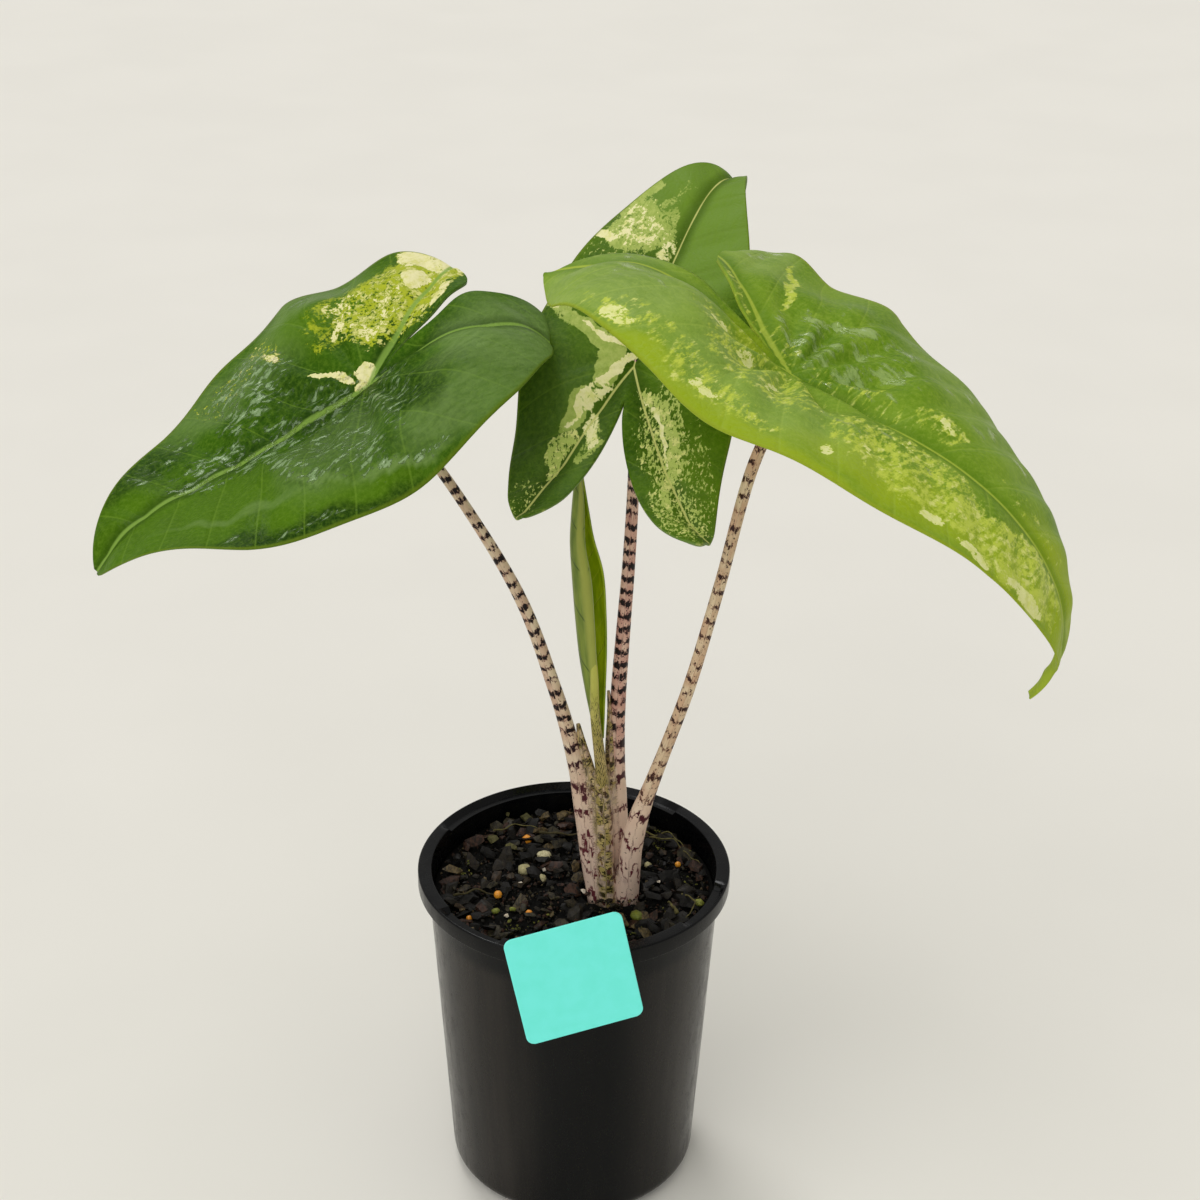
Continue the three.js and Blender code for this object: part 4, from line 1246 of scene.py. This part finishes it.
def card_look():
    look = Look("card_plastic")
    place = look.place()
    wear = look.noise(place, 6, detail=4)
    colour = look.over(tint(115, 252, 236), tint(121, 255, 242), wear, 0.3, 0.7)
    normal = look.bump(look.noise(place, 0.4, detail=2), 0.01)
    return look.skin(colour, look.rise(wear, 0.3, 0.7, 0.34, 0.44), normal)


def make_corm(material):
    """The swollen foot of the stem under the mix."""
    sides, top, bottom = 48, FOOT["top"], FOOT["bottom"]
    levels = [(-5, bottom), (-1.2, bottom + 4), (0, bottom + 11), (0, top - 6), (-0.4, top)]
    points = np.vstack([foot_oval(turns(sides), grow, z) for grow, z in levels])
    dress(mesh_piece("corm_body", points, capped(len(levels), sides), material), "corm_skin", "corm")

# The plant

# Of the leaf tones, "light" is painted sunlight and "dark" painted shade; the painted reflection, "glint"
# and painted sheen tones are painted highlights.
LEFT_TONES = {
    "deep": tint(40, 76, 0), "mid": tint(58, 98, 2), "light": tint(84, 122, 4), "dark": tint(22, 52, 0),
    "vein": tint(110, 144, 40), "painted_reflection": tint(132, 162, 106), "painted_reflection_share": 0.8,
    "glint": tint(196, 214, 180), "glint_share": 0.85, "satin": tint(118, 146, 78), "drift": 2.2,
    "rib": tint(132, 166, 70), "rib_width": 1.3, "pale": tint(176, 186, 44), "haze": tint(138, 158, 26),
    "cream": tint(240, 234, 178), "ivory": tint(218, 216, 128), "edge": tint(104, 128, 30),
    "under": tint(112, 138, 74), "film": 1.6, "rough": 0.42, "shine": 0.05, "streak": 0.8,
    "fleck_long": 0.8, "fleck_wide": 0.8, "fleck_size": 1.2, "soft": 0.02, "net": 0.12, "veins": 0.4,
    "midrib": 0.85,
}
MIDDLE_TONES = LEFT_TONES | {
    "deep": tint(50, 84, 0), "mid": tint(76, 110, 4), "light": tint(112, 146, 34),
    "dark": tint(42, 70, 0), "vein": tint(112, 140, 40), "rib": tint(206, 206, 122), "rib_width": 0.55,
    "pale": tint(184, 198, 104), "haze": tint(160, 180, 84), "ivory": tint(222, 222, 138),
    "painted_reflection_share": 0.3, "rough": 0.46, "shine": 0.07, "streak": 1.5, "fleck_long": 0.55,
    "fleck_wide": 1.1, "fleck_size": 1.0, "veins": 0.35,
}
RIGHT_TONES = LEFT_TONES | {
    "deep": tint(100, 136, 20), "mid": tint(122, 154, 36), "light": tint(152, 174, 22),
    "dark": tint(84, 122, 12), "vein": tint(158, 182, 66), "painted_reflection": tint(168, 190, 116),
    "painted_reflection_share": 0.5, "satin": tint(166, 188, 104), "drift": 5.0, "glint_share": 0.4,
    "rib": tint(170, 188, 66), "rib_width": 0.9, "pale": tint(194, 208, 78), "haze": tint(168, 188, 40),
    "cream": tint(228, 230, 156), "ivory": tint(214, 220, 120), "edge": tint(150, 168, 40),
    "under": tint(156, 176, 54), "film": 1.0, "rough": 0.44, "shine": 0.07, "streak": 0.5,
    "fleck_long": 1.0, "fleck_wide": 0.4, "fleck_size": 1.7, "soft": 0.07, "veins": 0.3,
}
STALK_TONES = {
    "base": tint(220, 200, 170), "warm": tint(204, 172, 146), "foot": tint(224, 194, 174),
    "blush": tint(100, 42, 50), "band": tint(22, 10, 10), "olive": tint(146, 130, 68),
    "straw": tint(180, 160, 100), "speck": tint(40, 36, 12), "fresh": tint(184, 184, 84), "swing": 0.9,
    "thick": 0.23, "gaps": 0.02, "smears": 0.3, "dots": 0.68,
}
MIDDLE_STALK_TONES = STALK_TONES | {
    "base": tint(214, 182, 160), "warm": tint(194, 148, 132), "thick": 0.29, "gaps": 0.03,
    "smears": 0.55, "dots": 0.64,
}
RIGHT_STALK_TONES = STALK_TONES | {
    "base": tint(214, 192, 158), "warm": tint(196, 162, 130), "blush": tint(118, 66, 52),
    "band": tint(48, 24, 18), "thick": 0.16, "gaps": -0.04, "dots": 0.62,
}
RING_PITCH = {"left": 4.8, "middle": 4.7, "right": 6.4, "rolled": 4.8}

# The fused foot of the stalks, in millimetres. "streak" is the olive stripe up its front, as
# [z, x, half width].
BASE = {
    "top": 196, "swell": 0.35, "sink": 0.6, "fade": (150, 186), "voxel": 0.6, "soften": 10,
    "streak": [
        [100, 12.0, 3.2], [125, 11.4, 3.0], [140, 10.6, 3.0], [155, 9.4, 3.4], [170, 7.2, 3.8],
        [185, 4.6, 3.4], [200, 3.0, 3.0],
    ],
}

# Where the blades are cream, pale and flecked, where painted sunlight, painted shade and a
# painted sheen lie, and where water lies with painted reflections, as [a, b, half length, half
# width, turn in degrees, strength]. "a" runs along the midrib from the stalk to the tip, and "b"
# to the blade's left side.

PATCHES = {
    "left": {
        "cream": [
            [-46, -31, 8, 13, 25, 0.6], [-37, -22, 6, 8, 20, 0.62], [-40, -8, 9, 4, 20, 0.55],
            [-20, -19, 16, 13, 0, 0.48], [-5, -24, 5, 4, 0, 0.56], [6, -12, 10, 2.6, 118, 0.85],
            [-1, -5, 6, 2.6, 60, 0.8], [-13, -31, 14, 7, 30, 0.48], [16, -32, 5, 3, 90, 0.52],
            [-52, -22, 3, 12, 0, 0.6],
        ],
        "pale": [[-30, -22, 32, 26, 0, 0.52], [-12, -30, 26, 15, 20, 0.5], [48, -38, 10, 9, 0, 0.4]],
        "fleck": [
            [-28, -20, 34, 24, 0, 0.54], [-44, -24, 14, 18, 0, 0.6], [16, -38, 8, 16, 0, 0.44],
            [34, -36, 24, 14, 0, 0.42],
        ],
        "sun": [[74, 8, 42, 30, -20, 0.6], [34, 38, 36, 8, -20, 0.6], [-8, -40, 34, 16, 0, 0.7]],
        "shade": [
            [38, 46, 50, 6, -17, 0.85], [-8, 26, 14, 14, 0, 0.7], [-22, 8, 26, 7, 0, 0.5],
            [12, 8, 26, 20, 0, 0.55], [80, -24, 20, 7, 20, 0.6], [16, -10, 22, 14, -60, 0.5],
        ],
        "wet_and_painted_reflection": [
            [14, 14, 36, 36, 0, 0.85], [8, 43, 20, 2.4, -22, 1.0], [28, 31, 13, 2.2, -50, 1.0],
            [38, 13, 15, 2.4, -80, 1.0], [46, -8, 34, 12, -6, 0.95], [30, -30, 22, 26, -60, 0.9],
            [70, -26, 22, 10, 20, 0.8], [46, 41, 40, 2.0, -20, 0.8], [-12, -46, 18, 8, 0, 0.7],
        ],
        "haze": [
            [-44, 26, 30, 26, 0, 0.85], [-18, 44, 30, 10, -10, 0.7], [12, 43, 18, 1.8, -24, 0.9],
            [31, 30, 12, 1.8, -52, 0.9], [24, 22, 24, 20, 0, 0.4], [34, -36, 34, 14, 0, 0.6],
            [-8, -46, 24, 8, 0, 0.6], [52, 24, 34, 3, -18, 0.5],
        ],
    },
    "middle": {
        "cream": [
            [-1, 3, 13, 2.2, -42, 0.8], [7, 10, 14, 1.4, 68, 0.7], [-18, 13, 13, 1.6, -22, 0.75],
            [-26, 8, 12, 5, -12, 0.56], [-12, 7, 9, 3, -30, 0.62], [48, 24, 4, 7, 0, 0.75],
            [52, 14, 12, 12, 0, 0.5], [47, 3, 8, 5, 0, 0.52], [22, 31, 10, 4, 20, 0.52],
            [-24, -11.5, 18, 1.2, 18, 0.7],
        ],
        "pale": [
            [-1, 8, 11, 6, 0, 0.85], [8, 16, 11, 4, 65, 0.8], [18, 28, 14, 5, 35, 0.6],
            [-20, 14, 12, 5, -20, 0.72], [-30, 8, 13, 6, -10, 0.55], [52, 14, 16, 15, 0, 0.6],
            [66, 20, 14, 8, -20, 0.68], [60, 6, 20, 6, 0, 0.5],
        ],
        "fleck": [
            [-30, -15, 34, 14, 14, 0.49], [-22, -14, 22, 4, 26, 0.57], [-42, -18, 22, 4, 8, 0.56],
            [-60, -21, 28, 14, 10, 0.49], [-40, -28, 34, 7, 4, 0.45], [-36, 18, 16, 4, -22, 0.55],
            [-56, 26, 16, 7, 0, 0.44], [40, 16, 40, 24, 0, 0.42], [0, -20, 26, 14, 0, 0.44],
        ],
        "sun": [[84, 0, 40, 26, 0, 0.8], [60, -14, 44, 18, 0, 0.85], [-50, -26, 34, 14, 0, 0.4]],
        "shade": [[-40, 25, 26, 10, 0, 0.7], [-30, 4, 30, 4, -10, 0.6], [-14, 26, 20, 12, 0, 0.5]],
        "haze": [[-30, 18, 40, 20, 0, 0.25], [60, -14, 40, 18, 0, 0.35], [64, 14, 30, 16, 0, 0.3]],
        "wet_and_painted_reflection": [[-30, 10, 60, 40, 0, 0.3]],
    },
    "right": {
        "cream": [
            [-20, -22, 3, 7, 8, 0.6], [-6, -20, 5, 5, 30, 0.55], [8, -26, 3, 8, 20, 0.55],
            [-33, -47, 7, 4, 0, 0.55], [0, -48, 8, 3, 0, 0.55], [36, -42, 3, 5, 0, 0.58],
            [43, -29, 3, 6, 15, 0.55], [46, -12, 3, 8, 10, 0.52], [66, -36, 6, 4, 20, 0.6],
            [79, -34, 8, 4, 28, 0.62], [98, -23, 14, 4, 30, 0.6], [47, 10, 5, 3, 0, 0.55],
        ],
        # The pale patch at the tail, at a = 138, is painted light on the tip, which faces away from the
        # lamps
        "pale": [
            [6, -22, 26, 22, 0, 0.46], [58, -24, 34, 20, 10, 0.5], [0, -46, 44, 7, 0, 0.46],
            [96, -22, 22, 7, 30, 0.56], [138, 0, 12, 12, 0, 0.62],
        ],
        "fleck": [
            [0, -22, 40, 24, 0, 0.47], [52, -22, 40, 26, 8, 0.48], [-10, -46, 56, 10, 0, 0.46],
            [-30, 32, 22, 5, -52, 0.5], [46, 10, 14, 8, 0, 0.46], [86, 8, 26, 8, 0, 0.42],
            [-34, 10, 24, 4, -30, 0.47], [84, -18, 42, 18, 24, 0.52], [14, 6, 60, 8, 0, 0.42],
            [-30, 32, 26, 3, -52, 0.62],
        ],
        "sun": [
            [112, 0, 36, 24, 0, 1.0], [140, 0, 22, 20, 0, 1.0], [66, -30, 50, 14, 22, 0.85],
            [10, -54, 60, 6, 0, 0.9], [-14, -8, 14, 6, 0, 0.8],
        ],
        "shade": [
            [-48, -28, 26, 12, -30, 0.7], [4, 14, 20, 14, 0, 0.6], [24, 36, 46, 14, -16, 0.5],
            [84, -6, 22, 8, 0, 0.5], [-40, 34, 24, 10, -40, 0.4],
        ],
        "wet_and_painted_reflection": [
            [6, 18, 36, 26, 0, 0.9], [-58, 42, 20, 12, -30, 0.75], [-50, -24, 26, 14, -30, 0.7],
            [48, 30, 40, 12, -20, 0.7], [34, -20, 40, 14, 0, 0.55],
        ],
        "haze": [
            [-46, -32, 34, 24, 0, 0.5], [0, -34, 50, 20, 0, 0.35], [-52, 40, 26, 16, -30, 0.45],
            [44, 32, 44, 12, -22, 0.35],
        ],
    },
}

for name, tones in (("left", LEFT_TONES), ("middle", MIDDLE_TONES), ("right", RIGHT_TONES)):
    make_blade(name, leaf_look(f"leaf_{name}", tones))
make_stalk("left", stalk_look("stalk_left", STALK_TONES), "stalk")
make_stalk("middle", stalk_look("stalk_middle", MIDDLE_STALK_TONES), "stalk")
make_stalk("right", stalk_look("stalk_right", RIGHT_STALK_TONES), "stalk")
make_stalk("rolled", young_look("stalk_young", STALK_TONES), "stalk_young")
make_base(stalk_look("stalk_base", STALK_TONES))
make_rolled_leaf(rolled_look("leaf_rolled"))

make_pot(pot_look())
# The mix is dark and moist, and painted nearly black as painted shade in the gaps between the chips
make_mix(lump_look("mix_body", (9, 8, 6), (26, 22, 16), shine=0.1))
make_card(card_look())
make_corm(lump_look("corm_skin", (90, 68, 48), (130, 104, 76)))

# Bits on the mix that stand out, as [x, y, size] in millimetres. Moss has places only.
PUMICE = [[-17.9, 7.7, 6.5], [-11, 14.9, 6.5], [-11.4, 4, 5], [26.4, 12.4, 3.6], [-14, 20, 2.4]]
KHAKI = [[-17.6, 41.3, 9], [-29.8, 25.6, 7], [-23, 21, 6.5], [-25, 41.5, 3], [17.5, 33, 9]]
PRILLS = [[-17.5, 27.2, 3.7], [-26.5, -9.3, 3], [-36, -21.6, 2.2], [-15.3, -19.4, 2.5], [37.1, 11.3, 2.2]]
PEBBLE = [[22.2, -21.1, 6], [-21, -16, 3], [-27, -18, 3.4], [44.2, -13, 4.5]]
MOSS = [[30.5, 23.5], [41.1, 0], [-12, -25], [-20, -27], [30, 33], [21, -30], [-38, 6], [33, -18]]
PALE = [[3.3, -5.7, 3], [-19, -2, 2.6], [-10.5, 8, 3], [-23, -21, 2.2], [30.1, 0.4, 2]]

# Twigs and threads, as a radius and [x, y, rise above the mix] points
TWIGS = [
    [0.7, [36, -22, 3.5], [34.5, -17, 4], [33, -12, 2.5]],
    [0.45, [-42, -12, 2], [-34, -9, 3.5], [-25, -10, 2.5]],
    [0.5, [-13, 29, 3], [-4, 27, 4], [6, 25, 3]],
    [0.3, [27, 26, 3], [36, 22, 4.5], [45, 10, 2]],
    [0.3, [25, 30, 2.5], [35, 27, 4], [42, 17, 3]],
    [0.4, [38, -8, 3], [43, -15, 4], [39, -24, 2.5]],
    [0.3, [-30, 30, 3], [-22, 33, 4.5], [-14, 31, 3]],
]

rng = np.random.default_rng(11)
chips = [hull(rng, 14, (1, 0.66, 0.3), 0.25) for _ in range(16)]
grains = [hull(rng, 10, (1, 0.8, 0.7), 0.3) for _ in range(8)]
stones = [hull(rng, 40, (1, 0.8, 0.62), 0.14) for _ in range(6)]
balls = [hull(rng, 110, (1, 1, 1), 0.0) for _ in range(3)]
grit_spots = strewn(rng, 2200, (1.0, 2.6))
chip_spots = strewn(rng, 560, (2.6, 11))
moss_spots = [
    (x + rng.normal(0, 1.6), y + rng.normal(0, 1.6), rng.uniform(0.8, 2)) for x, y in MOSS * 9
]
pumice_look = lump_look("pumice", (176, 166, 122), (214, 204, 166), stain=(120, 110, 62))
khaki_look = lump_look("khaki", (74, 70, 36), (98, 92, 50), stain=(44, 42, 18))
prill_look = lump_look("prill", (222, 140, 36), (236, 160, 44), 0.35, 3, 0.5, depth=0.05)
pebble_look = lump_look("pebble", (104, 112, 30), (144, 146, 60), 0.5, stain=(50, 58, 16))
moss_look = lump_look("moss", (62, 66, 16), (126, 124, 50), stain=(34, 38, 10))
pale_look = lump_look("pale_bits", (216, 200, 176), (228, 218, 204), stain=(188, 168, 140))
twig_look = lump_look("twig", (66, 58, 28), (120, 112, 60), grain=2, stain=(36, 30, 14))
scatter("bark_grit", bark_look(), rng, grains, grit_spots, 0.3, 90)
scatter("bark_chips", bark_look(), rng, chips, chip_spots, 0.35, 48, lift=1.2)
scatter("pumice_bits", pumice_look, rng, stones, PUMICE, 0.2, 20, lift=0.6, flat=False)
scatter("khaki_chips", khaki_look, rng, chips, KHAKI, 0.1, 15, lift=1.5)
scatter("prills", prill_look, rng, balls, PRILLS, 0.1, 20, lift=1.2, flat=False)
scatter("pebbles", pebble_look, rng, stones, PEBBLE, 0.15, 20, lift=1, flat=False)
scatter("moss_bits", moss_look, rng, grains, moss_spots, 0.0, 90, lift=1.6)
scatter("pale_bits", pale_look, rng, grains, PALE, 0.1, 40, lift=1.2)
make_fibres("twigs", twig_look, rng, TWIGS)

# Floor, light and camera

STAGE_TONE = tint(238, 235, 226)


def make_floor():
    """A plain matt floor, so wide that its edge is never seen."""
    size = 60000
    corners = [(-size, -size, 0), (size, -size, 0), (size, size, 0), (-size, size, 0)]
    look = Look("floor")
    grain = look.noise(look.place(), 120, detail=2)
    colour = look.mix(look.rise(grain, 0.3, 0.7), STAGE_TONE, tint(236, 233, 224))
    floor = mesh_piece("floor", corners, [(0, 1, 2, 3)], look.skin(colour, 0.9), flat=True)


def add_light(name, source, strength, spread):
    """A wide far light that shines from the direction of source, spread over an angle in degrees."""
    data = bpy.data.lights.new(name, "SUN")
    data.energy = strength
    data.angle = math.radians(spread)
    lamp = bpy.data.objects.new(name, data)
    lamp.location = Vector(source)
    lamp.rotation_euler = (-Vector(source)).to_track_quat("-Z", "Y").to_euler()
    bpy.context.scene.collection.objects.link(lamp)


def add_camera():
    data = bpy.data.cameras.new("camera")
    data.lens = CAMERA["lens"]
    data.sensor_width = CAMERA["sensor"]
    data.clip_end = CAMERA["sight"]
    camera = bpy.data.objects.new("camera", data)
    pitch, roll = math.radians(CAMERA["pitch"]), math.radians(CAMERA["roll"])
    ahead = Vector((0, math.cos(pitch), -math.sin(pitch)))
    side = Vector((1, 0, 0))
    over = side.cross(ahead)
    right = side * math.cos(roll) + over * math.sin(roll)
    up = over * math.cos(roll) - side * math.sin(roll)
    place = Vector(CAMERA["aim"]) * MM - ahead * CAMERA["distance"] * MM
    turn = Matrix((right, up, -ahead)).transposed().to_4x4()
    camera.matrix_world = Matrix.Translation(place) @ turn
    bpy.context.scene.collection.objects.link(camera)
    bpy.context.scene.camera = camera


make_floor()
add_light("front", (-0.45, -0.7, 0.75), 1.1, 70)
add_light("top", (-0.2, 0.45, 0.87), 0.72, 18)
world = bpy.data.worlds.new("world")
world.use_nodes = True
background = world.node_tree.nodes["Background"]
background.inputs[0].default_value = (1, 0.99, 0.97, 1)
background.inputs[1].default_value = 0.5
bpy.context.scene.world = world
bpy.context.scene.view_settings.view_transform = "Standard"
add_camera()
